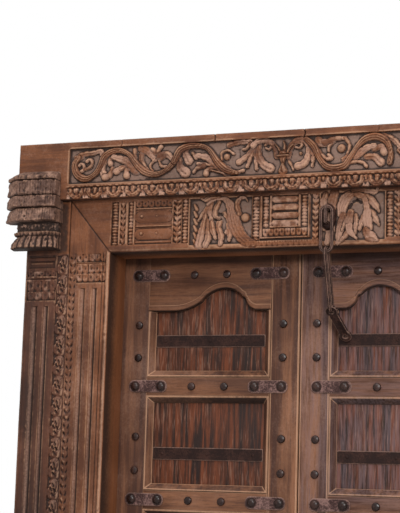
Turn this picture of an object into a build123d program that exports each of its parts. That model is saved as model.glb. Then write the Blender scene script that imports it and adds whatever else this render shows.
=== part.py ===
"""Carved two-leaf temple door in its frame: fluted posts, bracket capitals, scrolled frieze,
studded pivot leaves with ogee arches, and the forged chain that hangs from the lintel.

X runs along the wall, Y goes from the viewer through the doorway and Z is up. The origin lies
on the floor under the middle of the sill, half way through the inner frame. Millimetres."""
from build123d import *
import os
from math import atan2, cos, degrees, radians, sin

os.makedirs("parts", exist_ok=True)

# Inner frame
OPENING_WIDTH = 1140.0
OPENING_TOP = 1865.0
FRAME_DEPTH = 128.0
JAMB_WIDTH = 136.0
HEAD_HEIGHT = 165.0
ARRIS = 7.0

# Outer posts
POST_WIDTH = 147.0
POST_DEPTH = 110.0
VINE_STRIP_WIDTH = 42.0
JOINT_GROOVE = 4.0

# Top beam, the petal strip planted on it and the capitals at its ends
BEAM_HEIGHT = 182.0
BEAM_PROUD = 25.0
BEAM_OVERHANG = 28.0
FRIEZE_LEFT_CLEARANCE = 26.0
FRIEZE_RIGHT_CLEARANCE = 60.0
FRIEZE_TOP_BORDER = 23.0
FRIEZE_FILLET = 9.0
STRIP_HEIGHT = 40.0
STRIP_PROUD = 15.0
CAPITAL_WIDTH = 216.0
CAPITAL_OVERHANG = 34.0
CAPITAL_SIDE_STRIP = 27.0

# Sill
SILL_HEIGHT = 76.0
SILL_PROUD = 20.0
SILL_STEP = 26.0
SILL_HEEL = 14.0

# Leaves
LEAF_THICKNESS = 45.0
LEAF_GAP = 3.0
LEAF_CLEARANCE = 1.0
LEAF_LAP = 25.0
LEAF_FLOOR_CLEARANCE = 4.0
PIVOT_SETBACK = 12.0
HINGE_STILE_SIGHT = 84.0
MEETING_STILE_WIDTH = 90.0
RAIL_HEIGHT = 56.0
TOP_ROW_DROP = 80.0
BOTTOM_ROW_RISE = 45.0
PANEL_COUNT = 5
PANEL_RECESS = 20.0
PANEL_THICKNESS = 15.0
MOULDING_WIDTH = 21.0
MOULDING_PROUD = 3.0

# Ogee arch of the upper panel
SHOULDER_DROP = 111.0
ARCH_RISE = 68.0
ARCH_LIP = 17.0
ARCH_LIP_PROUD = 4.0

# Pintles of the hinge stiles, their cups in the sill and their blocks behind the head
PINTLE_RADIUS = 17.0
PINTLE_LENGTH = 34.0
PINTLE_CLEARANCE = 0.3
CUP_WALL = 5.0
CUP_FIT = 0.2
BLOCK_WIDTH = 74.0
BLOCK_HEIGHT = 58.0
BLOCK_MARGIN = 12.0

# Ironwork of the leaves
STRAP_HEIGHT = 38.0
STRAP_LENGTH = 124.0
STRAP_CHAMFER = 9.0
IRON_THICKNESS = 4.0
STUD_RADIUS = 12.0
STUD_HEIGHT = 8.0
STUD_SLOPE = 40.0

# Chain
WIRE_RADIUS = 4.5
WIRE_SIDES = 6
LINK_WIDTH = 42.0
LINK_1_LENGTH = 142.0
LINK_2_LENGTH = 195.0
LINK_2_TILT = 24.0
LINK_CLEARANCE = 0.2
STAPLE_RISE = 104.0
STAPLE_HEIGHT = 46.0
STAPLE_REACH = 38.0
STAPLE_ROOT = 30.0
CHAIN_OFFSET = 115.0
CHAIN_STANDOFF = 20.0
HASP_THICKNESS = 6.0
HASP_EYE_RADIUS = 16.0
HASP_HOLE_RADIUS = 9.6
HASP_BAR_WIDTH = 22.0
HASP_SLACK = 1.5
PEG_RADIUS = 3.2
PEG_LENGTH = 35.0
PEG_HASP_REACH = 30.0
PEG_INSET = 30.0
PEG_RISE = 10.0

# Depth of the carved grounds, facets of small rounds and how far a cut runs past a face
RELIEF = 9.0
ROUND_SIDES = 12
OVERRUN = 1.0

# Frame edges measured from the middle line, and heights
OPENING_EDGE = OPENING_WIDTH / 2
JAMB_EDGE = OPENING_EDGE + JAMB_WIDTH
POST_EDGE = JAMB_EDGE + POST_WIDTH
BEAM_EDGE = POST_EDGE + BEAM_OVERHANG
FRAME_FRONT = -FRAME_DEPTH / 2
FRAME_BACK = FRAME_DEPTH / 2
HEAD_TOP = OPENING_TOP + HEAD_HEIGHT
BEAM_TOP = HEAD_TOP + BEAM_HEIGHT
BEAM_FRONT = FRAME_FRONT - BEAM_PROUD
SILL_STEP_TOP = SILL_HEIGHT - SILL_STEP

# Pilasters, and the carved run between the capitals, which lies a little off the middle line
POST_FIELD_RIGHT = -JAMB_EDGE - VINE_STRIP_WIDTH
CAPITAL_MIDDLE = CAPITAL_WIDTH / 2 - CAPITAL_OVERHANG - BEAM_EDGE
CAPITAL_INNER_EDGE = JAMB_EDGE + CAPITAL_SIDE_STRIP
FRIEZE_HALF = CAPITAL_INNER_EDGE - (FRIEZE_LEFT_CLEARANCE + FRIEZE_RIGHT_CLEARANCE) / 2
CARVING_OFFSET = (FRIEZE_RIGHT_CLEARANCE - FRIEZE_LEFT_CLEARANCE) / 2

# Leaf planes and the pivot axis
LEAF_FRONT = FRAME_BACK + LEAF_CLEARANCE
LEAF_BACK = LEAF_FRONT + LEAF_THICKNESS
LEAF_BOTTOM = SILL_STEP_TOP + LEAF_FLOOR_CLEARANCE
LEAF_TOP = OPENING_TOP + LEAF_LAP
PIVOT_X = OPENING_EDGE + PIVOT_SETBACK
PIVOT_Y = LEAF_FRONT + LEAF_THICKNESS / 2
SILL_BACK = LEAF_BACK + SILL_HEEL
PANEL_FRONT = LEAF_FRONT + PANEL_RECESS
PANEL_BACK = PANEL_FRONT + PANEL_THICKNESS

# Left leaf: sight edges of its stiles and the heights of its stud rows
SIGHT_LEFT = HINGE_STILE_SIGHT - OPENING_EDGE
SIGHT_RIGHT = -LEAF_GAP / 2 - MEETING_STILE_WIDTH
SIGHT_WIDTH = SIGHT_RIGHT - SIGHT_LEFT
TOP_ROW = LEAF_TOP - TOP_ROW_DROP
BOTTOM_ROW = LEAF_BOTTOM + BOTTOM_ROW_RISE
ROW_PITCH = (TOP_ROW - BOTTOM_ROW) / PANEL_COUNT
ROWS = [TOP_ROW - ROW_PITCH * index for index in range(PANEL_COUNT + 1)]
SHOULDER = TOP_ROW - SHOULDER_DROP


def front_plane(depth):
    """Sketch plane at a depth, facing the viewer, with X to the right and Z up."""
    return Plane.XZ.offset(-depth)


def save(name, part):
    """Label a finished piece and write it."""
    part.label = name
    export_step(part, f"parts/{name}.step")


def save_pair(name, part):
    """Write a left-hand piece and its mirror image on the right."""
    save("left_" + name, part)
    save("right_" + name, mirror(part, about=Plane.YZ))


def block(left, right, front, back, bottom, top, mode=Mode.ADD):
    """Box between six planes, added to or cut from the part in hand."""
    with Locations(((left + right) / 2, (front + back) / 2, (bottom + top) / 2)):
        Box(right - left, back - front, top - bottom, mode=mode)


def plate(left, right, bottom, top):
    """Rectangle between four edges in the sketch in hand."""
    with Locations(((left + right) / 2, (bottom + top) / 2)):
        Rectangle(right - left, top - bottom)


def scaled(shares, width, height):
    """Points of an outline given as shares of a width and a height."""
    return [(across * width, along * height) for across, along in shares]


# Outlines of the repeated ornament, as shares of its pitch and height
PETAL_SHARES = ((-0.5, 0), (0.5, 0), (0.5, -0.5), (0, -0.92), (-0.5, -0.5))
VINE_LEAF_SHARES = ((-0.5, 0), (-0.05, -0.5), (0.5, 0.1), (0.1, 0.45))
LOBE_SHARES = ((0, 0), (0.22, -0.38), (0.58, -0.5), (1, 0.12), (0.62, 0.5), (0.22, 0.34))


def petal_row(left, right, top, height, count):
    """Row of hanging petals between two edges of the sketch in hand."""
    pitch = (right - left) / count
    with Locations(*[(left + pitch * (index + 1 / 2), top) for index in range(count)]):
        Polygon(*scaled(PETAL_SHARES, pitch, height), align=None)


def leaf_lobe(foot, angle, length, width):
    """Curling pointed leaf from its foot in the sketch in hand."""
    with Locations(Location((*foot, 0), (0, 0, angle))):
        Polygon(*scaled(LOBE_SHARES, length, width), align=None)


def ring_arc(centre, radius, width, start, sweep_angle):
    """Stretch of a flat ring in the sketch in hand."""
    inner = radius - width / 2
    outer = radius + width / 2
    with BuildLine() as edge:
        far = CenterArc(centre, outer, start, sweep_angle)
        near = CenterArc(centre, inner, start, sweep_angle)
        Line(far @ 0, near @ 0)
        Line(far @ 1, near @ 1)
    make_face(edge.edges())


# Sill with a rear step under the leaves and pockets for the pivot cups
CUP_SIDE = 2 * (PINTLE_RADIUS + PINTLE_CLEARANCE + CUP_WALL)
PINTLE_FOOT = LEAF_BOTTOM - PINTLE_LENGTH
CUP_FLOOR = PINTLE_FOOT - PINTLE_CLEARANCE
CUP_BOTTOM = CUP_FLOOR - CUP_WALL
SILL_FRONT = FRAME_FRONT - SILL_PROUD
PIVOTS = ((-PIVOT_X, PIVOT_Y), (PIVOT_X, PIVOT_Y))

with BuildPart() as sill:
    with BuildSketch(Plane.YZ.offset(-POST_EDGE)):
        with BuildLine():
            Polyline((SILL_FRONT + ARRIS, SILL_HEIGHT), (FRAME_BACK, SILL_HEIGHT),
                     (FRAME_BACK, SILL_STEP_TOP), (SILL_BACK, SILL_STEP_TOP), (SILL_BACK, 0), (SILL_FRONT, 0),
                     (SILL_FRONT, SILL_HEIGHT - ARRIS), close=True)
        make_face()
    extrude(amount=2 * POST_EDGE)
    with BuildSketch(Plane.XY.offset(CUP_BOTTOM)):
        with Locations(*PIVOTS):
            Rectangle(CUP_SIDE + 2 * CUP_FIT, CUP_SIDE + 2 * CUP_FIT)
    extrude(amount=SILL_STEP_TOP - CUP_BOTTOM + OVERRUN, mode=Mode.SUBTRACT)
save("sill", sill.part)

# Square iron cup that carries the lower pintle
with BuildPart() as pivot_cup:
    with BuildSketch(Plane.XY.offset(CUP_BOTTOM)):
        with Locations(PIVOTS[0]):
            Rectangle(CUP_SIDE, CUP_SIDE)
    extrude(amount=SILL_STEP_TOP - CUP_BOTTOM)
    with BuildSketch(Plane.XY.offset(CUP_FLOOR)):
        with Locations(PIVOTS[0]):
            Circle(PINTLE_RADIUS + PINTLE_CLEARANCE)
    extrude(amount=SILL_STEP_TOP - CUP_FLOOR, mode=Mode.SUBTRACT)
save_pair("pivot_cup", pivot_cup.part)

# Bored block behind the head that holds the upper pintle
BLOCK_BOTTOM = LEAF_TOP + LEAF_FLOOR_CLEARANCE
with BuildPart() as pivot_block:
    block(-PIVOT_X - BLOCK_WIDTH / 2, -PIVOT_X + BLOCK_WIDTH / 2, FRAME_BACK, LEAF_BACK + BLOCK_MARGIN,
          BLOCK_BOTTOM, BLOCK_BOTTOM + BLOCK_HEIGHT)
    chamfer(pivot_block.faces().sort_by(Axis.Y)[-1].edges(), length=BLOCK_MARGIN / 2)
    with BuildSketch(Plane.XY.offset(BLOCK_BOTTOM)):
        with Locations(PIVOTS[0]):
            Circle(PINTLE_RADIUS + PINTLE_CLEARANCE)
    extrude(amount=PINTLE_LENGTH, mode=Mode.SUBTRACT)
save_pair("pivot_block", pivot_block.part)

# Inner jamb: mitred to the head, fluted, with a banded top and a beaded outer edge
JAMB_EDGE_STRIP = 20.0
JAMB_FLUTE_WIDTH = 16.0
JAMB_FLUTE_SHARES = (0.42, 0.78)
JAMB_FLUTE_DROP = 106.0
JAMB_BASE = 150.0
JAMB_BAND_DROPS = (0.0, 34.0, 62.0)
JAMB_BAND_HEIGHT = 26.0
JAMB_PETALS = 5
FLUTE_DEPTH = 6.0

JAMB_FIELD_LEFT = JAMB_EDGE_STRIP - JAMB_EDGE
JAMB_FIELD_RIGHT = -OPENING_EDGE - ARRIS
FLUTE_FOOT = SILL_HEIGHT + JAMB_BASE
JAMB_OUTLINE = ((-JAMB_EDGE, SILL_HEIGHT), (-OPENING_EDGE, SILL_HEIGHT),
                (-OPENING_EDGE, OPENING_TOP), (-JAMB_EDGE, HEAD_TOP))


def flutes(left, right, shares, top):
    """Round-ended flutes of a pilaster in the sketch in hand."""
    length = top - FLUTE_FOOT
    for share in shares:
        with Locations((right + (left - right) * share, FLUTE_FOOT + length / 2)):
            SlotOverall(length, JAMB_FLUTE_WIDTH, rotation=90)


with BuildPart() as jamb:
    with BuildSketch(front_plane(FRAME_BACK)):
        with BuildLine():
            Polyline(*JAMB_OUTLINE, close=True)
        make_face()
    extrude(amount=FRAME_DEPTH)
    arris = jamb.edges().filter_by(Axis.Z).group_by(Axis.X)[-1].sort_by(Axis.Y)[0]
    chamfer(arris, length=ARRIS)
    with BuildSketch(front_plane(FRAME_FRONT)):
        flutes(JAMB_FIELD_LEFT, JAMB_FIELD_RIGHT, JAMB_FLUTE_SHARES, OPENING_TOP - JAMB_FLUTE_DROP)
        for drop in JAMB_BAND_DROPS:
            plate(JAMB_FIELD_LEFT, JAMB_FIELD_RIGHT,
                  OPENING_TOP - drop - JAMB_BAND_HEIGHT, OPENING_TOP - drop)
        plate(JAMB_FIELD_LEFT - JOINT_GROOVE, JAMB_FIELD_LEFT, SILL_HEIGHT, OPENING_TOP)
    extrude(amount=-FLUTE_DEPTH, mode=Mode.SUBTRACT)
    with BuildSketch(front_plane(FRAME_FRONT + FLUTE_DEPTH + OVERRUN)):
        for drop in JAMB_BAND_DROPS:
            petal_row(JAMB_FIELD_LEFT, JAMB_FIELD_RIGHT, OPENING_TOP - drop, JAMB_BAND_HEIGHT, JAMB_PETALS)
    extrude(amount=FLUTE_DEPTH + OVERRUN)
save_pair("inner_jamb", jamb.part)

# Inner head: carved panels either side of a framed square
HEAD_FIELD_BOTTOM_MARGIN = 22.0
HEAD_FIELD_TOP_MARGIN = 10.0
SQUARE_HALF = 75.0
SQUARE_BORDER = 28.0
SQUARE_BARS = 2
SQUARE_BAR_MARGIN = 42.0
SQUARE_BAR_HEIGHT = 18.0
SQUARE_BAR_PITCH_SHARE = 0.25
ACANTHUS_INNER = 102.0
ACANTHUS_WIDTH = 184.0
BARS_MARGIN = 94.0
BARS_WIDTH = 122.0
BAR_HEIGHT = 36.0
REED_WIDTH = 8.0
REED_CHANNEL_WIDTH = 16.0
REED_PLACES = (90.0, 312.0, 488.0, 538.0)
ACANTHUS_SPAN_SHARE = 0.75
ACANTHUS_SPREAD = 150.0
ACANTHUS_LOBE_SHARES = (0.50, 0.66, 0.78, 0.78, 0.62, 0.50)
ACANTHUS_LOBE_WIDTH = 34.0
ACANTHUS_EYE = 15.0

HEAD_FIELD_BOTTOM = OPENING_TOP + HEAD_FIELD_BOTTOM_MARGIN
HEAD_FIELD_TOP = HEAD_TOP - HEAD_FIELD_TOP_MARGIN
HEAD_FIELD_MIDDLE = (HEAD_FIELD_BOTTOM + HEAD_FIELD_TOP) / 2
HEAD_FIELD_HEIGHT = HEAD_FIELD_TOP - HEAD_FIELD_BOTTOM
ACANTHUS_MIDDLE = ACANTHUS_INNER + ACANTHUS_WIDTH / 2
BARS_MIDDLE = OPENING_EDGE - BARS_MARGIN - BARS_WIDTH / 2
LEFT_AND_RIGHT = (-1, 1)
STAPLE_Z = OPENING_TOP + STAPLE_RISE
STAPLE_FOOT_Z = STAPLE_Z - STAPLE_HEIGHT + 2 * WIRE_RADIUS

with BuildPart() as head:
    with BuildSketch(front_plane(FRAME_BACK)):
        with BuildLine():
            Polyline((-OPENING_EDGE, OPENING_TOP), (OPENING_EDGE, OPENING_TOP),
                     (JAMB_EDGE, HEAD_TOP), (-JAMB_EDGE, HEAD_TOP), close=True)
        make_face()
    extrude(amount=FRAME_DEPTH)
    lower_arris = head.edges().filter_by(Axis.X).group_by(Axis.Z)[0].sort_by(Axis.Y)[0]
    chamfer(lower_arris, length=ARRIS)
    with BuildSketch(front_plane(FRAME_FRONT)):
        with Locations((-CARVING_OFFSET, HEAD_FIELD_MIDDLE)):
            Rectangle(2 * SQUARE_HALF, HEAD_FIELD_HEIGHT)
        for side in LEFT_AND_RIGHT:
            for middle, width in ((ACANTHUS_MIDDLE, ACANTHUS_WIDTH), (BARS_MIDDLE, BARS_WIDTH)):
                with Locations((side * middle - CARVING_OFFSET, HEAD_FIELD_MIDDLE)):
                    Rectangle(width, HEAD_FIELD_HEIGHT)
            with Locations(*[(side * place - CARVING_OFFSET, HEAD_FIELD_MIDDLE) for place in REED_PLACES]):
                Rectangle(REED_CHANNEL_WIDTH, HEAD_FIELD_HEIGHT)
    extrude(amount=-RELIEF, mode=Mode.SUBTRACT)
    with BuildSketch(front_plane(FRAME_FRONT + RELIEF + OVERRUN)):
        with Locations((-CARVING_OFFSET, HEAD_FIELD_MIDDLE)):
            Rectangle(2 * SQUARE_HALF - SQUARE_BORDER, HEAD_FIELD_HEIGHT - SQUARE_BORDER)
            Rectangle(2 * SQUARE_HALF - 2 * SQUARE_BORDER, HEAD_FIELD_HEIGHT - 2 * SQUARE_BORDER,
                      mode=Mode.SUBTRACT)
            with GridLocations(0, HEAD_FIELD_HEIGHT * SQUARE_BAR_PITCH_SHARE, 1, SQUARE_BARS):
                Rectangle(2 * (SQUARE_HALF - SQUARE_BAR_MARGIN), SQUARE_BAR_HEIGHT)
        for side in LEFT_AND_RIGHT:
            with Locations((side * BARS_MIDDLE - CARVING_OFFSET, HEAD_FIELD_MIDDLE)):
                with GridLocations(0, HEAD_FIELD_HEIGHT / 2, 1, SQUARE_BARS):
                    SlotOverall(BARS_WIDTH - REED_CHANNEL_WIDTH, BAR_HEIGHT)
            with Locations(*[(side * place - CARVING_OFFSET, HEAD_FIELD_MIDDLE) for place in REED_PLACES]):
                Rectangle(REED_WIDTH, HEAD_FIELD_HEIGHT - REED_CHANNEL_WIDTH)
            eye = (side * (ACANTHUS_INNER + ACANTHUS_WIDTH * (1 - ACANTHUS_SPAN_SHARE)) - CARVING_OFFSET,
                   HEAD_FIELD_MIDDLE)
            with Locations(eye):
                RegularPolygon(ACANTHUS_EYE, ROUND_SIDES)
            for index, share in enumerate(ACANTHUS_LOBE_SHARES):
                turn = 180 - ACANTHUS_SPREAD / 2 + ACANTHUS_SPREAD * index / (len(ACANTHUS_LOBE_SHARES) - 1)
                angle = turn if side < 0 else 180 - turn
                leaf_lobe(eye, angle, share * ACANTHUS_SPAN_SHARE * ACANTHUS_WIDTH, ACANTHUS_LOBE_WIDTH)
    extrude(amount=RELIEF + OVERRUN)
    with BuildSketch(front_plane(FRAME_FRONT)):
        with Locations((CHAIN_OFFSET, STAPLE_Z), (CHAIN_OFFSET, STAPLE_FOOT_Z)):
            RegularPolygon(WIRE_RADIUS + CUP_FIT, WIRE_SIDES, rotation=180 / WIRE_SIDES)
    extrude(amount=-STAPLE_ROOT, mode=Mode.SUBTRACT)
save("inner_head", head.part)

# Outer post: fluted pilaster under the capital, with a leafy vine along its inner edge
POST_FLUTE_SHARES = (0.30, 0.66)
POST_TABLET_DROP = 12.0
POST_TABLET_HEIGHT = 30.0
POST_TABLET_MARGIN = 16.0
POST_BAND_DROPS = (53.0, 92.0, 120.0)
POST_BAND_HEIGHT = 24.0
POST_PETALS = 5
POST_FLUTE_DROP = 160.0
VINE_TOP_DROP = 25.0
VINE_LEAVES = 16
VINE_LEAF_TILT = 38.0
VINE_LEAF_WIDTH_SHARE = 0.5

POST_FIELD_LEFT = ARRIS - POST_EDGE
VINE_TOP = OPENING_TOP - VINE_TOP_DROP
VINE_PITCH = (VINE_TOP - FLUTE_FOOT) / VINE_LEAVES
VINE_LEFT = POST_FIELD_RIGHT + JOINT_GROOVE
VINE_RIGHT = -JAMB_EDGE - JOINT_GROOVE

with BuildPart() as post:
    block(-POST_EDGE, -JAMB_EDGE, FRAME_FRONT, FRAME_FRONT + POST_DEPTH, SILL_HEIGHT, HEAD_TOP)
    corners = post.edges().filter_by(Axis.Z).group_by(Axis.Y)[0]
    chamfer(corners, length=JOINT_GROOVE)
    with BuildSketch(front_plane(FRAME_FRONT)):
        flutes(POST_FIELD_LEFT, POST_FIELD_RIGHT, POST_FLUTE_SHARES, OPENING_TOP - POST_FLUTE_DROP)
        for drop in POST_BAND_DROPS:
            plate(POST_FIELD_LEFT, POST_FIELD_RIGHT,
                  OPENING_TOP - drop - POST_BAND_HEIGHT, OPENING_TOP - drop)
        plate(POST_FIELD_LEFT + POST_TABLET_MARGIN, POST_FIELD_RIGHT - POST_TABLET_MARGIN,
              OPENING_TOP - POST_TABLET_DROP - POST_TABLET_HEIGHT, OPENING_TOP - POST_TABLET_DROP)
        plate(VINE_LEFT, VINE_RIGHT, FLUTE_FOOT, VINE_TOP)
    extrude(amount=-FLUTE_DEPTH, mode=Mode.SUBTRACT)
    with BuildSketch(front_plane(FRAME_FRONT + FLUTE_DEPTH + OVERRUN)):
        for drop in POST_BAND_DROPS:
            petal_row(POST_FIELD_LEFT, POST_FIELD_RIGHT, OPENING_TOP - drop, POST_BAND_HEIGHT, POST_PETALS)
        for index in range(VINE_LEAVES):
            tilt = VINE_LEAF_TILT if index % 2 else 180 - VINE_LEAF_TILT
            spot = ((VINE_LEFT + VINE_RIGHT) / 2, FLUTE_FOOT + VINE_PITCH * (index + 1 / 2))
            with Locations(Location((*spot, 0), (0, 0, tilt))):
                Polygon(*scaled(VINE_LEAF_SHARES, VINE_RIGHT - VINE_LEFT, VINE_PITCH * VINE_LEAF_WIDTH_SHARE),
                        align=None)
    extrude(amount=FLUTE_DEPTH + OVERRUN)
save_pair("outer_post", post.part)

# Top beam with the running scroll: alternating bows that end in a volute, leaves in every bow
VINE_WIDTH = 11.0
SCROLL_START = 169.0
VOLUTE_ROOM = 118.5
SCROLL_TURNS = 4
SCROLL_RISE = 40.0
SCROLL_LEAF_LENGTH = 50.0
SCROLL_LEAF_WIDTH = 20.0
SCROLL_LEAF_ANGLES = (35.0, 90.0, 145.0)
VOLUTE_INSET = 48.0
VOLUTE_RADIUS = 37.0
VOLUTE_EYE = 14.0
VASE_WIDTH = 46.0
VASE_SHARES = ((-0.34, 0), (0.34, 0), (0.16, 0.12), (0.46, 0.32), (0.5, 0.46), (0.26, 0.62), (0.4, 0.72),
               (-0.4, 0.72), (-0.26, 0.62), (-0.5, 0.46), (-0.46, 0.32), (-0.16, 0.12))
SPRAY_ANGLES = (20.0, 50.0, 160.0, 130.0)
SPRAY_LENGTH = 88.0

FRIEZE_BOTTOM = HEAD_TOP + STRIP_HEIGHT + FRIEZE_FILLET
FRIEZE_TOP = BEAM_TOP - FRIEZE_TOP_BORDER
FRIEZE_HEIGHT = FRIEZE_TOP - FRIEZE_BOTTOM
FRIEZE_MIDDLE = (FRIEZE_TOP + FRIEZE_BOTTOM) / 2
SCROLL_PITCH = (FRIEZE_HALF - SCROLL_START - VOLUTE_ROOM) / (SCROLL_TURNS - 1 / 2)
BOW_RADIUS = (SCROLL_PITCH ** 2 / 4 + SCROLL_RISE ** 2) / (2 * SCROLL_RISE)
BOW_HALF_ANGLE = degrees(atan2(SCROLL_PITCH / 2, BOW_RADIUS - SCROLL_RISE))

with BuildPart() as beam:
    block(-BEAM_EDGE, BEAM_EDGE, BEAM_FRONT, FRAME_BACK, HEAD_TOP, BEAM_TOP)
    with BuildSketch(front_plane(BEAM_FRONT)):
        plate(-CARVING_OFFSET - FRIEZE_HALF, -CARVING_OFFSET + FRIEZE_HALF, FRIEZE_BOTTOM, FRIEZE_TOP)
    extrude(amount=-RELIEF, mode=Mode.SUBTRACT)
    with BuildSketch(front_plane(BEAM_FRONT + RELIEF + OVERRUN)):
        with Locations((-CARVING_OFFSET, FRIEZE_BOTTOM)):
            Polygon(*scaled(VASE_SHARES, VASE_WIDTH, FRIEZE_HEIGHT), align=None)
        for angle in SPRAY_ANGLES:
            leaf_lobe((-CARVING_OFFSET, FRIEZE_MIDDLE), angle, SPRAY_LENGTH, SCROLL_LEAF_WIDTH)
        for side in LEFT_AND_RIGHT:
            for turn in range(SCROLL_TURNS):
                crest = turn % 2 * 2 - 1
                across = side * (SCROLL_START + SCROLL_PITCH * turn) - CARVING_OFFSET
                centre = (across, FRIEZE_MIDDLE - crest * (BOW_RADIUS - SCROLL_RISE))
                ring_arc(centre, BOW_RADIUS, VINE_WIDTH, crest * 90 - BOW_HALF_ANGLE, 2 * BOW_HALF_ANGLE)
                foot = (across, FRIEZE_MIDDLE + crest * SCROLL_RISE)
                for angle in SCROLL_LEAF_ANGLES:
                    leaf_lobe(foot, -crest * angle, SCROLL_LEAF_LENGTH, SCROLL_LEAF_WIDTH)
            with Locations((side * (FRIEZE_HALF - VOLUTE_INSET) - CARVING_OFFSET, FRIEZE_MIDDLE)):
                RegularPolygon(VOLUTE_RADIUS + VINE_WIDTH / 2, ROUND_SIDES)
                RegularPolygon(VOLUTE_RADIUS - VINE_WIDTH / 2, ROUND_SIDES, mode=Mode.SUBTRACT)
                RegularPolygon(VOLUTE_EYE, ROUND_SIDES)
    extrude(amount=RELIEF + OVERRUN)
save("frieze_beam", beam.part)

# Petal strip planted along the beam's lower edge
STRIP_PETAL_COUNT = 46
STRIP_BACK_SHARE = 0.6
STRIP_FILLET = 10.0

STRIP_STEP = BEAM_FRONT - STRIP_PROUD * STRIP_BACK_SHARE
with BuildPart() as strip:
    block(-CARVING_OFFSET - FRIEZE_HALF, -CARVING_OFFSET + FRIEZE_HALF, STRIP_STEP, BEAM_FRONT,
          HEAD_TOP, HEAD_TOP + STRIP_HEIGHT)
    with BuildSketch(front_plane(STRIP_STEP + OVERRUN)):
        petal_row(-CARVING_OFFSET - FRIEZE_HALF, -CARVING_OFFSET + FRIEZE_HALF,
                  HEAD_TOP + STRIP_HEIGHT - STRIP_FILLET, STRIP_HEIGHT - STRIP_FILLET, STRIP_PETAL_COUNT)
        plate(-CARVING_OFFSET - FRIEZE_HALF, -CARVING_OFFSET + FRIEZE_HALF,
              HEAD_TOP + STRIP_HEIGHT - STRIP_FILLET, HEAD_TOP + STRIP_HEIGHT)
    extrude(amount=STRIP_PROUD - STRIP_PROUD * STRIP_BACK_SHARE + OVERRUN)
save("bead_strip", strip.part)

# Bracket capital: three flaring ribbed tiers, a neck with a bead roll and a lotus cushion,
# half an octagon in plan, notched over the beam and sawn off square on its inner side
CAPITAL_REACH = 76.0
CAPITAL_NECK_INSET = 20.0
CAPITAL_FLARE = 7.0
CAPITAL_CANT_SHARE = 0.213
CAPITAL_SEAT = 12.0
CUSHION_HEIGHT = 40.0
BEAD_ROLL_HEIGHT = 14.0
NECK_HEIGHT = 30.0
TIER_HEIGHTS = (43.0, 39.0, 48.0)
ROOF_HEIGHT = 30.0
ROOF_INSET = 40.0
RIB_GROOVE = 6.0
RIB_GROOVES = 4
RIB_TURN = 45

CAPITAL_BOTTOM = OPENING_TOP + CAPITAL_SEAT


def bracket_plan(inset):
    """Half-octagon plan of the capital, drawn in by an inset, in the sketch in hand."""
    half = CAPITAL_WIDTH / 2 - inset
    reach = FRAME_FRONT - CAPITAL_REACH + inset
    cant = 2 * half * CAPITAL_CANT_SHARE
    Polygon((CAPITAL_MIDDLE - half, FRAME_FRONT), (CAPITAL_MIDDLE - half, reach + cant),
            (CAPITAL_MIDDLE - half + cant, reach), (CAPITAL_MIDDLE + half - cant, reach),
            (CAPITAL_MIDDLE + half, reach + cant), (CAPITAL_MIDDLE + half, FRAME_FRONT), align=None)


CAPITAL_COURSES = [(CUSHION_HEIGHT, CAPITAL_NECK_INSET - CAPITAL_FLARE, CAPITAL_NECK_INSET),
                   (BEAD_ROLL_HEIGHT, CAPITAL_NECK_INSET, CAPITAL_NECK_INSET),
                   (NECK_HEIGHT, CAPITAL_NECK_INSET + RIB_GROOVE / 2, CAPITAL_NECK_INSET + RIB_GROOVE / 2)]
CAPITAL_COURSES += [(height, 0, CAPITAL_FLARE) for height in TIER_HEIGHTS]
CAPITAL_COURSES += [(ROOF_HEIGHT, CAPITAL_FLARE, ROOF_INSET)]
RIBBED_COURSES = (0, 3, 4, 5)

courses = []
level = CAPITAL_BOTTOM
for index, (height, lower_inset, upper_inset) in enumerate(CAPITAL_COURSES):
    with BuildPart() as course:
        with BuildSketch(Plane.XY.offset(level)):
            bracket_plan(lower_inset)
        extrude(amount=height)
        if upper_inset > lower_inset:
            slope = degrees(atan2(upper_inset - lower_inset, height))
            sides = course.faces().filter_by(Axis.Z, reverse=True).sort_by(Axis.Y)[:-1]
            draft(sides, Plane.XY.offset(level), slope)
        if index in RIBBED_COURSES:
            rib_pitch = (CAPITAL_WIDTH * (1 - 2 * CAPITAL_CANT_SHARE)) / RIB_GROOVES
            front = FRAME_FRONT - CAPITAL_REACH + upper_inset
            with Locations((CAPITAL_MIDDLE, front, level + height / 2)):
                with GridLocations(rib_pitch, 0, RIB_GROOVES, 1):
                    Box(RIB_GROOVE, 2 * RIB_GROOVE, height - RIB_GROOVE,
                        rotation=(0, 0, RIB_TURN), mode=Mode.SUBTRACT)
    courses.append(course.part)
    level += height

with BuildPart() as capital:
    add(courses)
    block(-BEAM_EDGE, -JAMB_EDGE, BEAM_FRONT, FRAME_FRONT + OVERRUN, HEAD_TOP, BEAM_TOP, mode=Mode.SUBTRACT)
    block(-CAPITAL_INNER_EDGE, CAPITAL_MIDDLE + CAPITAL_WIDTH, FRAME_FRONT - CAPITAL_REACH - OVERRUN,
          FRAME_FRONT + OVERRUN, CAPITAL_BOTTOM - OVERRUN, level + OVERRUN, mode=Mode.SUBTRACT)
save_pair("capital", capital.part)

# Stiles of the left leaf: the hinge stile is round about its pivot and carries the two pintles
with BuildPart() as hinge_stile:
    with BuildSketch(Plane.XY.offset(LEAF_BOTTOM)):
        plate(-PIVOT_X, SIGHT_LEFT, LEAF_FRONT, LEAF_BACK)
        with Locations(PIVOTS[0]):
            Circle(LEAF_THICKNESS / 2)
    extrude(amount=LEAF_TOP - LEAF_BOTTOM)
    with BuildSketch(Plane.XY.offset(PINTLE_FOOT)):
        with Locations(PIVOTS[0]):
            Circle(PINTLE_RADIUS)
    extrude(amount=LEAF_TOP - LEAF_BOTTOM + 2 * PINTLE_LENGTH)
save_pair("hinge_stile", hinge_stile.part)

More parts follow.
